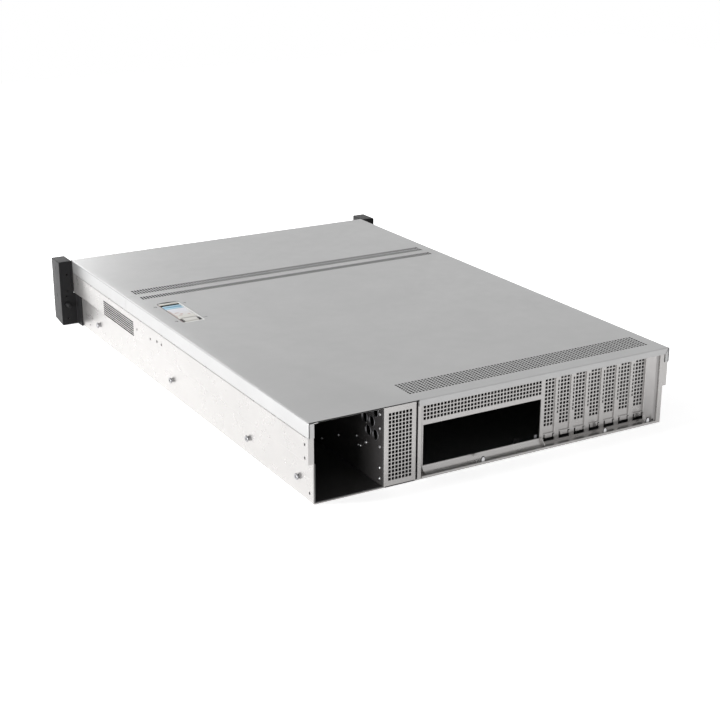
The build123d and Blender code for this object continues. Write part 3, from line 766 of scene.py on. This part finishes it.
def make_rear_wall():
    half = SHEET / 2
    inner = HALF_LOWER - SHEET - 0.2 * MM
    corners = [
        (POST[1], FRAME_Y - half), (POST[0] + half, FRAME_Y - half), (POST[0] + half, WALL_Y - half),
        (RECESS_X - half, WALL_Y - half), (RECESS_X - RECESS_FLARE - half, FRAME_Y - SHEET - half),
        (-inner, FRAME_Y - SHEET - half),
    ]
    fold = Fold(corners, WALL_BEND)

    def across(x):
        """How far along the fold x lies on the wall itself, its third run."""
        return fold.along(2, 0, x)

    low, high = WALL_LOW.z, WALL_HIGH.z
    post_end = fold.runs[1][1]
    outline = [
        (0, low), (fold.length, low), (fold.length, SHELF_Z),
        (post_end, SHELF_Z), (post_end, high), (0, high),
    ]
    left, right, *opening_z = IO_OPENING
    holes = [rectangle(across(right), across(left), *opening_z)]
    holes += grid(across(STRIP_X[1]), across(STRIP_X[0]), STRIP_COLUMNS, *STRIP_Z, STRIP_ROWS, HOLE)
    for number in range(SLOT_COUNT):
        x = slot_x(number)
        low_u, high_u = across(x + SLOT_OPENING / 2), across(x - SLOT_OPENING / 2)
        holes.append(rectangle(low_u, high_u, SLOT_LOW, SHELF_Z - SHEET))
        holes.append(tail_slot(across, x + TAIL_SHIFT))
        if number < SLOT_COUNT - 1:
            bar = across(x - SLOT_STEP / 2 + BAR_SHIFT)
            holes += grid(bar, bar, 1, *BAR_Z, BAR_ROWS, BAR_HOLE_WIDTH, HOLE)
    bm = blank(outline, holes, SHEET)
    bend(bm, fold, lying)
    shelf_end = (POST[0], FRAME_Y - SHEET - 0.2 * MM, SHELF_Z)
    box(bm, (RECESS_X, WALL_Y - SHEET, SHELF_Z - SHEET), shelf_end, edge=0.15 * MM)
    # The slanted side of the recess takes the painted shade and reflection.
    mark_second_finish(bm, lambda centre, normal: centre.x < RECESS_X - 0.4 * MM and centre.y > WALL_Y - SHEET)
    finished("rear_wall_sheet", bm, CASE, node="rear_wall", second_finish=RECESS_SHADE_STEEL)


def tail_slot(across, x):
    """The slot for a card bracket's tail: a long low cut, with a narrow nib and a wide one at its ends."""
    half = TAIL_HALF
    low, high, top = TAIL_Z
    points = [
        (half, low), (half, top), (half - NARROW_NIB, top), (half - NARROW_NIB, high),
        (-half + WIDE_NIB, high), (-half + WIDE_NIB, top), (-half, top), (-half, low),
    ]
    return [(across(x + u), z) for u, z in points]


PANEL_BEND = 1.0 * MM
PANEL_HALF = mm(3 * 4.0, 8.5 * 4.07)
PANEL_MIDDLE_Z = 42.8 * MM
PANEL_COLUMNS, PANEL_ROWS = 7, 18
PANEL_HOLE = 3.05 * MM


def make_vent_panel():
    half = SHEET / 2
    left, right = PANEL_LOW.x, PANEL_HIGH.x
    corners = [
        (right - half, PANEL_LOW.y), (right - half, FRAME_Y - half),
        (left + half, FRAME_Y - half), (left + half, PANEL_LOW.y),
    ]
    fold = Fold(corners, PANEL_BEND)
    middle = fold.along(1, 0, (left + right) / 2)
    across, up = PANEL_HALF
    holes = grid(*span(middle, across), PANEL_COLUMNS, *span(PANEL_MIDDLE_Z, up), PANEL_ROWS, PANEL_HOLE)
    bm = blank(rectangle(0, fold.length, PANEL_LOW.z, PANEL_HIGH.z), holes, SHEET, edge=0.12 * MM)
    bend(bm, fold, lying)
    finished("vent_panel_sheet", bm, CASE, node="vent_panel")


BLADE_SHEET = 0.9 * MM
BLADE_SIDE = 7.9 * MM
BLADE_TAIL = 4.2 * MM
BLADE_HOLES_Z = mm(22.1, 72.8)
BLADE_HOLES_HALF = 4.25 * MM
BLADE_ROWS, BLADE_COLUMNS = 13, 3


def make_slot_covers():
    half = BLADE_SHEET / 2
    blade_y = WALL_Y - SHEET
    for number in range(1, SLOT_COUNT + 1):
        low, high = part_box(f"slot_cover_{number}")
        x = (low.x + high.x) / 2
        corners = [(blade_y - half, low.z), (blade_y - half, SHELF_Z + half), (high.y, SHELF_Z + half)]
        fold = Fold(corners, BLADE_SHEET)
        shoulder = fold.along(0, 1, SLOT_LOW - SHEET)
        near, far = x + BLADE_SIDE, low.x
        outline = [
            (0, x - BLADE_TAIL), (shoulder, x - BLADE_TAIL), (shoulder, far), (fold.length, far),
            (fold.length, near), (shoulder, near), (shoulder, x + BLADE_TAIL), (0, x + BLADE_TAIL),
        ]
        ends = [fold.along(0, 1, z) for z in BLADE_HOLES_Z]
        holes = grid(*ends, BLADE_ROWS, *span(x, BLADE_HOLES_HALF), BLADE_COLUMNS, HOLE)
        bm = blank(outline, holes, BLADE_SHEET)
        bend(bm, fold, sideways)
        finished(f"slot_cover_sheet_{number}", bm, CASE, node=f"slot_cover_{number}")


# Screws, studs and the details of the rear end

BAY_SCREW_Z = [BAY_TOP - drop for drop in mm(6.8, 21.7, 41.3)] + [SHEET + rise for rise in mm(7.8, 19.4)]
BAY_RIVETS = (
    (223.7, 9.1, 1.5), (259.8, 25.9, 1.6), (298.1, 39.0, 1.2),
    (301.4, 30.2, 1.0), (305.9, 30.8, 1.2), (316.0, 38.2, 2.2),
)
RIM_PROFILE = ((5.95, 0.0), (5.75, 0.35), (5.4, 0.3), (5.35, -1.3))
STUD_Y = [COVER_HIGH.y - back for back in mm(31.9, 143.8, 346.7, 585.4)]
STUD_Z = 18.9 * MM
STUD_PROFILE = (
    (0, 2.2), (1.5, 2.2), (1.6, 3.2), (1.8, 3.4), (2.7, 3.4), (3.0, 3.1), (3.0, 1.4), (2.3, 1.2), (2.3, 0),
)
TAB_X = mm(17.4, -142.4, -202.0)
FOOT_TOP = IO_OPENING[2] - 0.05 * MM
FOOT_LOW = 1.5 * MM
FOOT_REACH = 9.4 * MM
FOOT_STEPS = 12


def make_screws():
    bm = bmesh.new()
    for number in range(SLOT_COUNT):
        screw_head(bm, (slot_x(number), WALL_Y + 3.6 * MM, SHELF_Z + BLADE_SHEET), Z_AXIS, radius=2.6)
    finished("slot_screw_heads", bm, BRIGHT, node="slot_screws")
    bm = bmesh.new()
    low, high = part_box("bay_screws")
    for z in BAY_SCREW_Z:
        screw_head(bm, (low.x, (low.y + high.y) / 2, z), X_AXIS, radius=1.7)
    finished("bay_screw_heads", bm, BRIGHT, node="bay_screws")
    bm = bmesh.new()
    for y, z, radius in BAY_RIVETS:
        screw_head(bm, (low.x, y * MM, z * MM), X_AXIS, radius, height=1.1, steps=14)
    finished("bay_rivets", bm, BRIGHT)
    bm = bmesh.new()
    for row in range(3):
        for column in range(2):
            y = FRAME_Y - (14.5 + row % 2 * 7.05 + 14.1 * column) * MM
            z = BAY_TOP - (7.05 + 12.21 * row) * MM
            loops = [(disc(y, z, radius * MM, 28), low.x + out * MM) for radius, out in RIM_PROFILE]
            skin(bm, loops, sideways, caps=False)
    finished("bay_hole_rims", bm, RIM_STEEL)


def make_studs():
    bm = bmesh.new()
    for side in (1, -1):
        for y in STUD_Y:
            turned(bm, STUD_PROFILE, (side * HALF_LOWER, y, STUD_Z), (side, 0, 0), 24)
    finished("rail_stud_heads", bm, SCREW_STEEL, node="rail_studs")


def make_rear_foot():
    """The coved foot of the rear wall, and the half-round tabs that stand behind it, with painted shadows
    behind the tabs.
    """
    left, right = IO_OPENING[:2]
    cove = [(WALL_Y, FOOT_LOW)]
    for step in range(FOOT_STEPS + 1):
        turn = math.pi / 2 * step / FOOT_STEPS
        rise = (FOOT_TOP - FOOT_LOW) * math.sin(turn)
        cove.append((WALL_Y + FOOT_REACH * (1 - math.cos(turn)), FOOT_TOP - rise))
    bm = bmesh.new()
    prism(bm, cove, left - 1.0 * MM, right + 0.5 * MM, sideways)
    finished("rear_foot_cove", bm, CASE)

    bm = bmesh.new()
    behind = FRAME_Y - 2.6 * MM
    gusset = [(WALL_Y, SHEET), (behind, SHEET), (behind, FLOOR_LIP + 0.6 * MM), (WALL_Y, 10.6 * MM)]
    prism(bm, gusset, left - 1.8 * MM, left - 0.9 * MM, sideways)
    for number in range(SLOT_COUNT):
        x = slot_x(number) + TAIL_SHIFT - TAIL_HALF
        tip = rectangle(x + 0.1 * MM, x + 1.7 * MM, 7.4 * MM, 10.4 * MM)
        prism(bm, tip, WALL_Y - 0.9 * MM, WALL_Y + 0.5 * MM, facing_rear)
    finished("rear_foot", bm, CASE)

    def behind(bm, outline, near, far):
        prism(bm, outline, FRAME_Y - near * MM, FRAME_Y - far * MM, facing_rear)

    # Dark arches behind the bright tabs and a dark disc near the recess's foot are painted shadows.
    bm = bmesh.new()
    shade = bmesh.new()
    for x in TAB_X:
        behind(shade, arch(x, *mm(2.7, 8.6)), 1.8, 1.6)
        behind(bm, arch(x, *mm(1.9, 7.6)), 1.6, 1.3)
    behind(shade, disc(*mm(-208.6, 4.4, 1.2), 12), 1.7, 1.1)
    clip = bmesh.new()
    clip_end = (left + 4.6 * MM, WALL_Y - 2.4 * MM, 12.4 * MM)
    box(clip, (left + 1.4 * MM, WALL_Y - 4.0 * MM, SHEET), clip_end, edge=0.4 * MM)
    finished("opening_clip", clip, RIM_STEEL)
    finished("rear_tab_painted_shadows", shade, PAINTED_SHADE_STEEL)
    finished("rear_tabs", bm, BRIGHT)


# Cover latch

LEVER_TOP = TOP - 0.35 * MM
LEVER_FRONT = LEVER_LOW.y - 1.4 * MM
LEVER_THICKNESS = 2.8 * MM
NECK_HALF = 8.4 * MM
HOOK_HALF = 2.0 * MM
PIN_Y, PIN_Z = (PIN_LOW.y + PIN_HIGH.y) / 2, (PIN_LOW.z + PIN_HIGH.z) / 2
TUB_WALL = 1.3 * MM
TUB_FLOOR = 1.5 * MM
TUB_HALF_U = LATCH_WIDTH / 2 - 0.2 * MM
TUB_HALF_V = LATCH_LENGTH / 2 - 0.2 * MM
TUB_INNER_U = TUB_HALF_U - TUB_WALL
GAP_START = -10.5 * MM
WELL_FRONT = -69.0 * MM
TAB_END = -50.8 * MM
FIELD_TOP = LEVER_TOP + 0.12 * MM
RED_MARKS = (
    (193.4, -33.0, 5.0, 1.6), (189.5, -27.4, 3.2, 2.4), (192.6, -23.2, 4.0, 1.2), (181.6, -24.0, 3.0, 1.6),
)
RIVET_PROFILE = ((0, 1.1), (0.5, 1.1), (0.8, 0.9), (0.8, 0.5), (0.4, 0.4), (0.4, 0))


def tub_loop(grow_u, grow_v, radius, t):
    """The tub's outline, grown by some millimetres, as a loop for skin."""
    half_u, half_v = TUB_HALF_U + grow_u * MM, TUB_HALF_V + grow_v * MM
    return rounded(*span(LATCH_X, half_u), *span(LATCH_Y, half_v), radius * MM), t


def make_tub():
    rim, under, low = TOP - 0.1 * MM, TOP - COVER_SHEET - 0.1 * MM, TUB_LOW.z
    shoulder, ledge, wall = rim - 0.2 * MM, under - 1.4 * MM, -TUB_WALL / MM
    rows = (
        (0, 0, 2.6, low), (0, 0, 2.6, ledge), (6.9, 3.4, 3.0, ledge), (6.9, 3.4, 3.0, under),
        (0, 0, 2.6, under), (0, 0, 2.6, shoulder), (-0.2, -0.2, 2.4, rim),
        (wall + 0.2, wall + 0.2, 1.4, rim), (wall, wall, 1.2, shoulder), (wall, wall, 1.2, low),
    )
    loops = [tub_loop(*row) for row in rows]
    bm = bmesh.new()
    skin(bm, loops, lying, ring=True)
    hook_slot = square(LATCH_X, PIN_Y - 6.0 * MM, 6.0 * MM, 22.0 * MM)
    floor = blank(loops[-1][0], [hook_slot], TUB_FLOOR)
    joined(bm, moved(floor, lambda u, v, t: Vector((u, v, t + low + TUB_FLOOR / 2))))
    # The upper part of the tub's +X inner wall takes the dark reddish-brown painted shade.
    right_wall = LATCH_X + TUB_INNER_U - 0.1 * MM
    mark_second_finish(bm, lambda centre, normal: centre.x > right_wall and centre.z > under + 0.1 * MM)
    finished("latch_tub_shell", bm, WHITE_PLASTIC, "cover", "latch_tub", RIM_SHADE_BROWN)

    left, right = span(LATCH_X, TUB_INNER_U)
    front = LATCH_Y - TUB_HALF_V + TUB_WALL
    rear = LATCH_Y + TUB_HALF_V - TUB_WALL
    base = low + 2 * MM
    bm = bmesh.new()
    box(bm, (left, front, base), (right, WELL_FRONT, TOP - 0.2 * MM), edge=0.3 * MM)
    box(bm, (left, PIN_Y + 5.7 * MM, base), (right, rear, TOP - 0.5 * MM), edge=0.3 * MM)
    finished("latch_ledges", bm, LEDGE_PLASTIC, "cover")

    # Painted shade in black plastic: plates on the finger well's floor and at its front, blocks in the gaps
    # beside the lever's neck, and a thin sheet under the opening's front edge.
    bm = bmesh.new()
    prism(bm, rectangle(left, right, WELL_FRONT, LEVER_LOW.y + 10 * MM), low + TUB_FLOOR, base, lying)
    prism(bm, rectangle(left, right, WELL_FRONT, WELL_FRONT + 0.3 * MM), base, TOP - 0.6 * MM, lying)
    gap_fill = 3.4 * MM
    for low_x, high_x in ((left, left + gap_fill), (right - gap_fill, right)):
        box(bm, (low_x, GAP_START, base), (high_x, rear - 0.6 * MM, TOP - 0.9 * MM), edge=0.4 * MM)
    gap_rear = LATCH_Y - TUB_HALF_V
    front_gap = rectangle(*span(LATCH_X, TUB_HALF_U + 0.2 * MM), gap_rear - 4.8 * MM, gap_rear)
    prism(bm, front_gap, under + 0.01 * MM, under + 0.08 * MM, lying)
    finished("latch_painted_shade", bm, BLACK_PLASTIC, "cover")


def make_lever():
    low_x, high_x = LEVER_LOW.x, LEVER_HIGH.x
    under = LEVER_TOP - LEVER_THICKNESS
    bm = bmesh.new()
    lever_block(bm, low_x, high_x, TAB_END, GAP_START - 0.4 * MM, LEVER_TOP, LEVER_THICKNESS, 0.8 * MM)
    neck_start = GAP_START - 2.0 * MM
    reach = LEVER_TOP - PIN_Z
    turns = [math.pi / 2 - math.pi * 1.05 * step / 12 for step in range(13)]
    neck = [(neck_start, under), (neck_start, LEVER_TOP)]
    prism(bm, neck + arc(PIN_Y, PIN_Z, reach, turns), *span(LATCH_X, NECK_HALF), sideways)
    back, face, tip = PIN_Y - 2.5 * MM, PIN_Y + 2.5 * MM, PIN_Y + 1.4 * MM
    low = LEVER_LOW.z
    hook = [(back, PIN_Z), (face, PIN_Z), (face, low + 1.2 * MM), (tip, low), (back, low)]
    prism(bm, hook, *span(LATCH_X, HOOK_HALF), sideways)
    finished("latch_lever_body", bm, LEVER_PLASTIC, "latch", "latch_lever")

    tab = (
        ("latch_tab", PALE_BLUE, ((0.0, 5.4, 0.0), (8.6, 5.6, 0.0))),
        ("latch_tab_groove", BLUE_PLASTIC, ((5.0, 4.0, 0.5),)),
    )
    for name, looks, blocks in tab:
        bm = bmesh.new()
        for start, length, drop in blocks:
            front = LEVER_FRONT + start * MM
            top = LEVER_TOP - drop * MM
            lever_block(bm, low_x, high_x, front, front + length * MM, top, 2.2 * MM, 0.9 * MM)
        finished(name, bm, looks, "latch")

    fields = (
        ("latch_field", FIELD_PALE, low_x + 0.7 * MM, high_x - 0.9 * MM, TAB_END + 1.4 * MM, neck_start),
        ("latch_edge_line", FIELD_RED, high_x - 0.75 * MM, high_x - 0.1 * MM, *mm(-45.0, -17.0)),
    )
    for name, looks, *sides in fields:
        bm = bmesh.new()
        prism(bm, rounded(*sides, 0.3 * MM), LEVER_TOP, FIELD_TOP, lying)
        finished(name, bm, looks, "latch")
    bm = bmesh.new()
    for mark in RED_MARKS:
        prism(bm, square(*mm(*mark)), FIELD_TOP, LEVER_TOP + 0.2 * MM, lying)
    finished("latch_print", bm, FIELD_RED, "latch")


def make_cover_rivets():
    bm = bmesh.new()
    rivet_shade = bmesh.new()
    for x, y in COVER_RIVETS:
        turned(bm, RIVET_PROFILE, (x, y, TOP - COVER_SHEET), Z_AXIS, 16)
        # A near-black disc under each rivet head: painted shade in the gap round the rivet.
        prism(rivet_shade, disc(x, y, 1.7 * MM, 20), TOP - 0.97 * MM, TOP - 0.85 * MM, lying)
    finished("cover_rivets", bm, BRIGHT, "cover")
    finished("cover_rivet_painted_shade", rivet_shade, PAINTED_SHADE_STEEL, "cover")


# Rack ears

EAR_LOW, EAR_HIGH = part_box("ear_right")
EAR_WALL = 2.0 * MM
EAR_FOOT_CUT = 5.0 * MM
BRACKET_LOW, BRACKET_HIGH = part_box("ear_bracket_right")
SCREW_LOW, SCREW_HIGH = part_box("rack_screw_right")
SCREW_X = (SCREW_LOW.x + SCREW_HIGH.x) / 2
KNOB_Z = (SCREW_LOW.z + SCREW_HIGH.z) / 2
SHANK_HOLE = 3.3 * MM
PLATE = 2.0 * MM
LEG_HEIGHT = 42.5 * MM
EAR_MARKS = ((78.9, 72.9), (41.2, 36.2))
BACK_HOLES = (
    (231.1, 68.7, 1.2), (225.0, 69.9, 1.2), (231.3, 46.2, 0.9), (233.6, 39.4, 1.1), (233.1, 8.8, 1.0),
)
KNOB_PROFILE = [
    (0, 0), (0, 2.2), (1.2, 2.4), (1.2, 3.0), (0, 3.4), (0, 5.6),
    (0.4, 6.3), (1.2, 6.8), (5.8, 6.8), (6.4, 6.2), (6.8, 4.0), (7.0, 2.4),
]
THREAD_START = 36.8
THREAD_PITCH = 1.1
THREAD_TURNS = 8
KNURL_RIDGES = 18
KNURL_DEPTH = 0.025


def make_ear(name, side):
    """One rack ear: its moulded housing, folded bracket and small marks."""
    low_x, high_x = EAR_LOW.x, EAR_HIGH.x
    front, back, top = EAR_LOW.y, EAR_HIGH.y, EAR_HIGH.z
    middle_x = (low_x + high_x) / 2

    def mirrored(points):
        return [(side * u, v) for u, v in points]

    def loop(inset, y):
        return mirrored(rounded(low_x, high_x - SKIN, 0.0, top, 1.2 * MM, inset * MM)), y

    holes = [disc(SCREW_X, KNOB_Z, SHANK_HOLE, 24)]
    if side > 0:
        holes += [disc(middle_x, *mm(68.0, 4.8), 28), disc(middle_x, *mm(54.0, 2.7), 20)]
    else:
        holes += [square(middle_x, z, *mm(5.6, 13.0)) for z in mm(52.0, 70.0)]
    inner, wall = front + EAR_WALL, EAR_WALL / MM
    loops = [
        loop(0.7, front + 0.1 * MM), loop(0.25, front + 0.3 * MM), loop(0, front + 0.9 * MM),
        loop(0, back), loop(wall, back), loop(wall, inner), loop(0.9, inner),
    ]
    bm = bmesh.new()
    skin(bm, loops, facing_rear, ring=True)
    face = blank(loop(0.6, front)[0], [mirrored(hole) for hole in holes], EAR_WALL, edge=0.3 * MM)
    joined(bm, moved(face, lambda u, v, t: Vector((u, front + EAR_WALL / 2 - t, v))))
    for vertex in bm.verts:
        reach = vertex.co.y - front + vertex.co.z
        if reach < EAR_FOOT_CUT:
            vertex.co.z += EAR_FOOT_CUT - reach
    finished(f"ear_{name}_housing", bm, BLACK_PLASTIC, node=f"ear_{name}")

    bm = bmesh.new()
    for high, low in EAR_MARKS:
        mark = rounded(*span(front + 14.8 * MM, 1.5 * MM), low * MM, high * MM, 1.4 * MM)
        prism(bm, mark, side * (high_x - SKIN), side * high_x, sideways)
    finished(f"ear_{name}_marks", bm, EAR_STEEL)

    leg_x, plate_y = HALF_LOWER + PLATE / 2, BRACKET_LOW.y + PLATE / 2
    fold = Fold([(leg_x, BRACKET_HIGH.y), (leg_x, plate_y), (high_x, plate_y)], PLATE)
    step, end, corner = fold.along(1, 0, low_x), fold.length, 1.2 * MM
    outline = [
        (0, corner), (corner, 0), (end - corner, 0), (end, corner), (end, top - corner), (end - corner, top),
        (step, top), (step, LEG_HEIGHT), (corner, LEG_HEIGHT), (0, LEG_HEIGHT - corner),
    ]
    holes = [disc(fold.along(1, 0, x * MM), z * MM, radius * MM, 12) for x, z, radius in BACK_HOLES]
    holes.append(disc(fold.along(1, 0, SCREW_X), KNOB_Z, SHANK_HOLE, 24))
    bm = blank(outline, holes, PLATE, edge=0.15 * MM)
    bend(bm, fold, lambda u, v, t: Vector((side * u, v, t)))
    boss = rounded(low_x + 0.1 * MM, low_x + 2.4 * MM, LEG_HEIGHT + 6 * MM, top - 3 * MM, 0.8 * MM)
    boss_y = BRACKET_LOW.y + PLATE
    prism(bm, mirrored(boss), boss_y, boss_y + 0.9 * MM, facing_rear)
    finished(f"ear_{name}_bracket", bm, EAR_STEEL, node=f"ear_bracket_{name}")


def make_rack_screw(name):
    """A captive screw: a knurled knob, and a thread that is painted as the ears are."""
    node = f"rack_screw_{name}"
    low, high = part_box(node)
    origin = Vector(((low.x + high.x) / 2, low.y, (low.z + high.z) / 2))
    thread = [(THREAD_START, 2.4)]
    for turn in range(THREAD_TURNS):
        start = THREAD_START + turn * THREAD_PITCH
        thread += [(start + 0.2, 2.95), (start + 0.7, 2.45)]
    thread += [(45.6, 2.2), (45.8, 0)]
    bm = bmesh.new()
    turned(bm, KNOB_PROFILE + thread, origin, Y_AXIS, 36)
    for vertex in bm.verts:
        across = vertex.co - origin
        if across.y < 7.0 * MM and math.hypot(across.x, across.z) > 6.0 * MM:
            pull = 1 + KNURL_DEPTH * math.cos(KNURL_RIDGES * math.atan2(across.z, across.x))
            vertex.co.x, vertex.co.z = origin.x + across.x * pull, origin.z + across.z * pull
    mark_second_finish(bm, lambda centre, normal: centre.y > low.y + 30.0 * MM)
    finished(f"{node}_knob", bm, DARK_SCREW, f"screw_{name}", node, EAR_STEEL)


# The handles of the drive trays

HANDLE_CHAMFER = 1.5 * MM
HANDLE_OPENING = mm(70.0, 11.0)
GRILLE_CELLS = (17, 3)
GRILLE_BARS = mm(1.0, 0.9)
GRILLE_THICKNESS = 1.2 * MM


def make_handle(number):
    """A tray's handle: a rounded frame, a grille in its opening, and a release key at the free end."""
    node, body = f"tray_handle_{number}", f"handle_{number}"
    low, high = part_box(node)
    depth = high.y - low.y
    middle_x, middle_y, middle_z = (low + high) / 2
    half_u, half_v = (size / 2 for size in HANDLE_OPENING)
    opening = rounded(*span(middle_x, half_u), *span(middle_z, half_v), 1.5 * MM)
    key = square(low.x + 7.0 * MM, middle_z, 8.0 * MM, 13.0 * MM)
    sheet = blank(rounded(low.x, high.x, low.z, high.z, 1.6 * MM), [opening, key], depth, edge=0.5 * MM)
    bm = moved(sheet, lambda u, v, t: Vector((u, middle_y - t, v)))
    shoulder = high.x - HANDLE_CHAMFER
    cut_across(bm, X_AXIS, shoulder, dist=1e-7)
    for vertex in bm.verts:
        reach = depth / 2 - max(vertex.co.x - shoulder, 0.0)
        vertex.co.y = middle_y + max(-reach, min(reach, vertex.co.y - middle_y))
    columns, rows = GRILLE_CELLS
    step_u, step_v = 2 * half_u / columns, 2 * half_v / rows
    ends_u, ends_v = span(middle_x, half_u - step_u / 2), span(middle_z, half_v - step_v / 2)
    cells = grid(*ends_u, columns, *ends_v, rows, step_u - GRILLE_BARS[0], step_v - GRILLE_BARS[1])
    sheet = square(middle_x, middle_z, 2 * half_u + MM, 2 * half_v + MM)
    grille_y = middle_y + GRILLE_THICKNESS / 2
    joined(bm, moved(blank(sheet, cells, GRILLE_THICKNESS), lambda u, v, t: Vector((u, grille_y - t, v))))
    finished(f"{body}_frame", bm, HANDLE_PLASTIC, body, node)

    bm = bmesh.new()
    size = (*span(low.x + 7.0 * MM, 3.6 * MM), *span(middle_z, 6.1 * MM), 0.8 * MM)
    face = ((0, low.y + 0.9 * MM), (0.2, low.y + 0.6 * MM), (0.6, low.y + 0.5 * MM))
    loops = [(rounded(*size, inset * MM), y) for inset, y in ((0, high.y - 0.6 * MM), *face)]
    skin(bm, loops, facing_rear)
    finished(f"{body}_key", bm, BUTTON_PLASTIC, body)


def make_button(name, radius):
    """A button's cap with a dished face and a flange behind the housing. Its radius is in millimetres."""
    node = f"{name}_button"
    low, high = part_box(node)
    length = (high.y - low.y) / MM
    profile = [
        (0.25, 0), (0.2, radius * 0.5), (0.1, radius * 0.72), (0, radius * 0.86), (0.3, radius * 0.97),
        (0.7, radius), (length * 0.4, radius), (length * 0.4, radius + 0.5),
        (length, radius + 0.5), (length, 0),
    ]
    bm = bmesh.new()
    turned(bm, profile, ((low.x + high.x) / 2, low.y, (low.z + high.z) / 2), Y_AXIS)
    finished(f"{node}_cap", bm, BUTTON_PLASTIC, f"{name}_key", node)


make_front_cover()
make_rear_cover()
make_base()
make_rear_wall()
make_vent_panel()
make_slot_covers()
make_screws()
make_studs()
make_rear_foot()
make_tub()
make_lever()
make_cover_rivets()
for ear_name, ear_side in (("right", 1), ("left", -1)):
    make_ear(ear_name, ear_side)
    make_rack_screw(ear_name)
for tray_number in range(1, 13):
    make_handle(tray_number)
make_button("power", 4.5)
make_button("reset", 2.4)

# Each CAD node takes the finish that is named as its slot is, with two exceptions
FINISHES["brass"] = FINISHES["standoff_steel"]
FINISHES["latch_plastic"] = LEVER_PLASTIC
for row in frame["record"]["subparts"]:
    node_materials = frame["nodes"][row["node"]].data.materials
    node_materials.clear()
    node_materials.append(FINISHES[row["material_slot"]])


# Camera and studio

CAMERA_PLACE = Vector((0.82485, 1.48438, 0.60434))
CAMERA_AIM = Vector((-0.45238, -0.82204, -0.34583))
CAMERA_ROLL = math.radians(0.35)
LENS_MM = 72.82
SENSOR_MM = 36.0
CAMERA_SHIFT = (0.0433, 0.0274)
WHITE = (1, 1, 1, 1)
FLOOR_HALF = 2.4
FLOOR_DROP = 0.0005
GLOW_NEAR, GLOW_FAR = 0.70, 1.3
GLOW_START, GLOW_END = 0.5, 1.2
WORLD_LIGHT = 0.30
# Name, place, aim, size, watts, and whether glossy surfaces mirror the lamp
LAMPS = (
    ("near_left", (1.3, -0.4, 1.3), (0, -0.1, 0), (0.9, 0.9), 30, False),
    ("gloss", (0.1, -1.7, 0.95), (0.1, -0.3, 0.09), (0.6, 0.6), 4.5, True),
    ("side_rear", (1.7, 0.75, 0.043), (0.2, 0.25, 0.043), (1.0, 0.08), 22, True),
    ("side_low", (1.9, 0.1, 0.043), (0.2, 0.1, 0.043), (1.6, 0.08), 22, True),
)


def looking(name, data, place, direction, roll=0.0):
    """Adds a camera or a lamp that looks along the direction."""
    holder = in_scene(name, data)
    holder.location = place
    holder.rotation_mode = "QUATERNION"
    spin = Matrix.Rotation(-roll, 3, "Z").to_quaternion()
    holder.rotation_quaternion = direction.to_track_quat("-Z", "Y") @ spin
    return holder


def make_camera():
    data = bpy.data.cameras.new("camera")
    data.lens = LENS_MM
    data.sensor_width = SENSOR_MM
    data.shift_x, data.shift_y = CAMERA_SHIFT
    data.clip_start = 0.05
    bpy.context.scene.camera = looking("camera", data, CAMERA_PLACE, CAMERA_AIM, CAMERA_ROLL)


def soft_lamp(name, place, aim, size, watts, mirrored):
    lamp = bpy.data.lights.new(name, "AREA")
    lamp.shape = "RECTANGLE"
    lamp.size, lamp.size_y = size
    lamp.energy = watts
    looking(name, lamp, place, Vector(aim) - Vector(place)).visible_glossy = mirrored


def seen_directly(tree):
    """One where the camera, a reflection or glass looks at the surface, and nought for other light."""
    rays = tree.nodes.new("ShaderNodeLightPath").outputs
    seen = rays["Is Camera Ray"]
    for other in ("Is Glossy Ray", "Is Transmission Ray"):
        seen = add_node(tree, "Math", {0: seen, 1: rays[other]}, "Value", operation="MAXIMUM")
    return seen


def make_world():
    world = bpy.data.worlds.new("studio")
    bpy.context.scene.world = world
    world.use_nodes = True
    tree = world.node_tree
    tree.nodes.clear()
    light, backdrop = [
        add_node(tree, "Background", {"Color": WHITE, "Strength": strength}, "Background")
        for strength in (WORLD_LIGHT, 1.0)
    ]
    mix = add_node(tree, "MixShader", {"Fac": seen_directly(tree), 1: light, 2: backdrop}, "Shader")
    fill(tree.nodes.new("ShaderNodeOutputWorld"), {"Surface": mix})


def make_floor():
    bm = bmesh.new()
    bmesh.ops.create_grid(bm, x_segments=1, y_segments=1, size=FLOOR_HALF)
    mesh = bpy.data.meshes.new("floor")
    bm.to_mesh(mesh)
    bm.free()
    floor = in_scene("floor", mesh)
    floor.location.z = BASE_LOW.z - FLOOR_DROP
    made, tree, shader = material("pale_floor", (0.9, 0.9, 0.9), roughness=0.9, Specular_IOR_Level=0.0)
    distance = add_node(tree, "VectorMath", {0: own_place(tree)}, "Value", operation="LENGTH")
    rise = spread(tree, distance, GLOW_NEAR, GLOW_FAR, GLOW_START, GLOW_END)
    glow = add_node(tree, "Math", {0: seen_directly(tree), 1: rise}, "Value", operation="MULTIPLY")
    clouds = noise(tree, scale=3.0, detail=2.0)
    fill(shader, {
        "Base Color": ramp(tree, clouds, (0.89, 0.89, 0.89), (0.91, 0.91, 0.91)),
        "Emission Color": WHITE,
        "Emission Strength": glow,
    })
    mesh.materials.append(made)


make_camera()
make_world()
make_floor()
for lamp_row in LAMPS:
    soft_lamp(*lamp_row)

bpy.context.scene.view_settings.view_transform = "Standard"
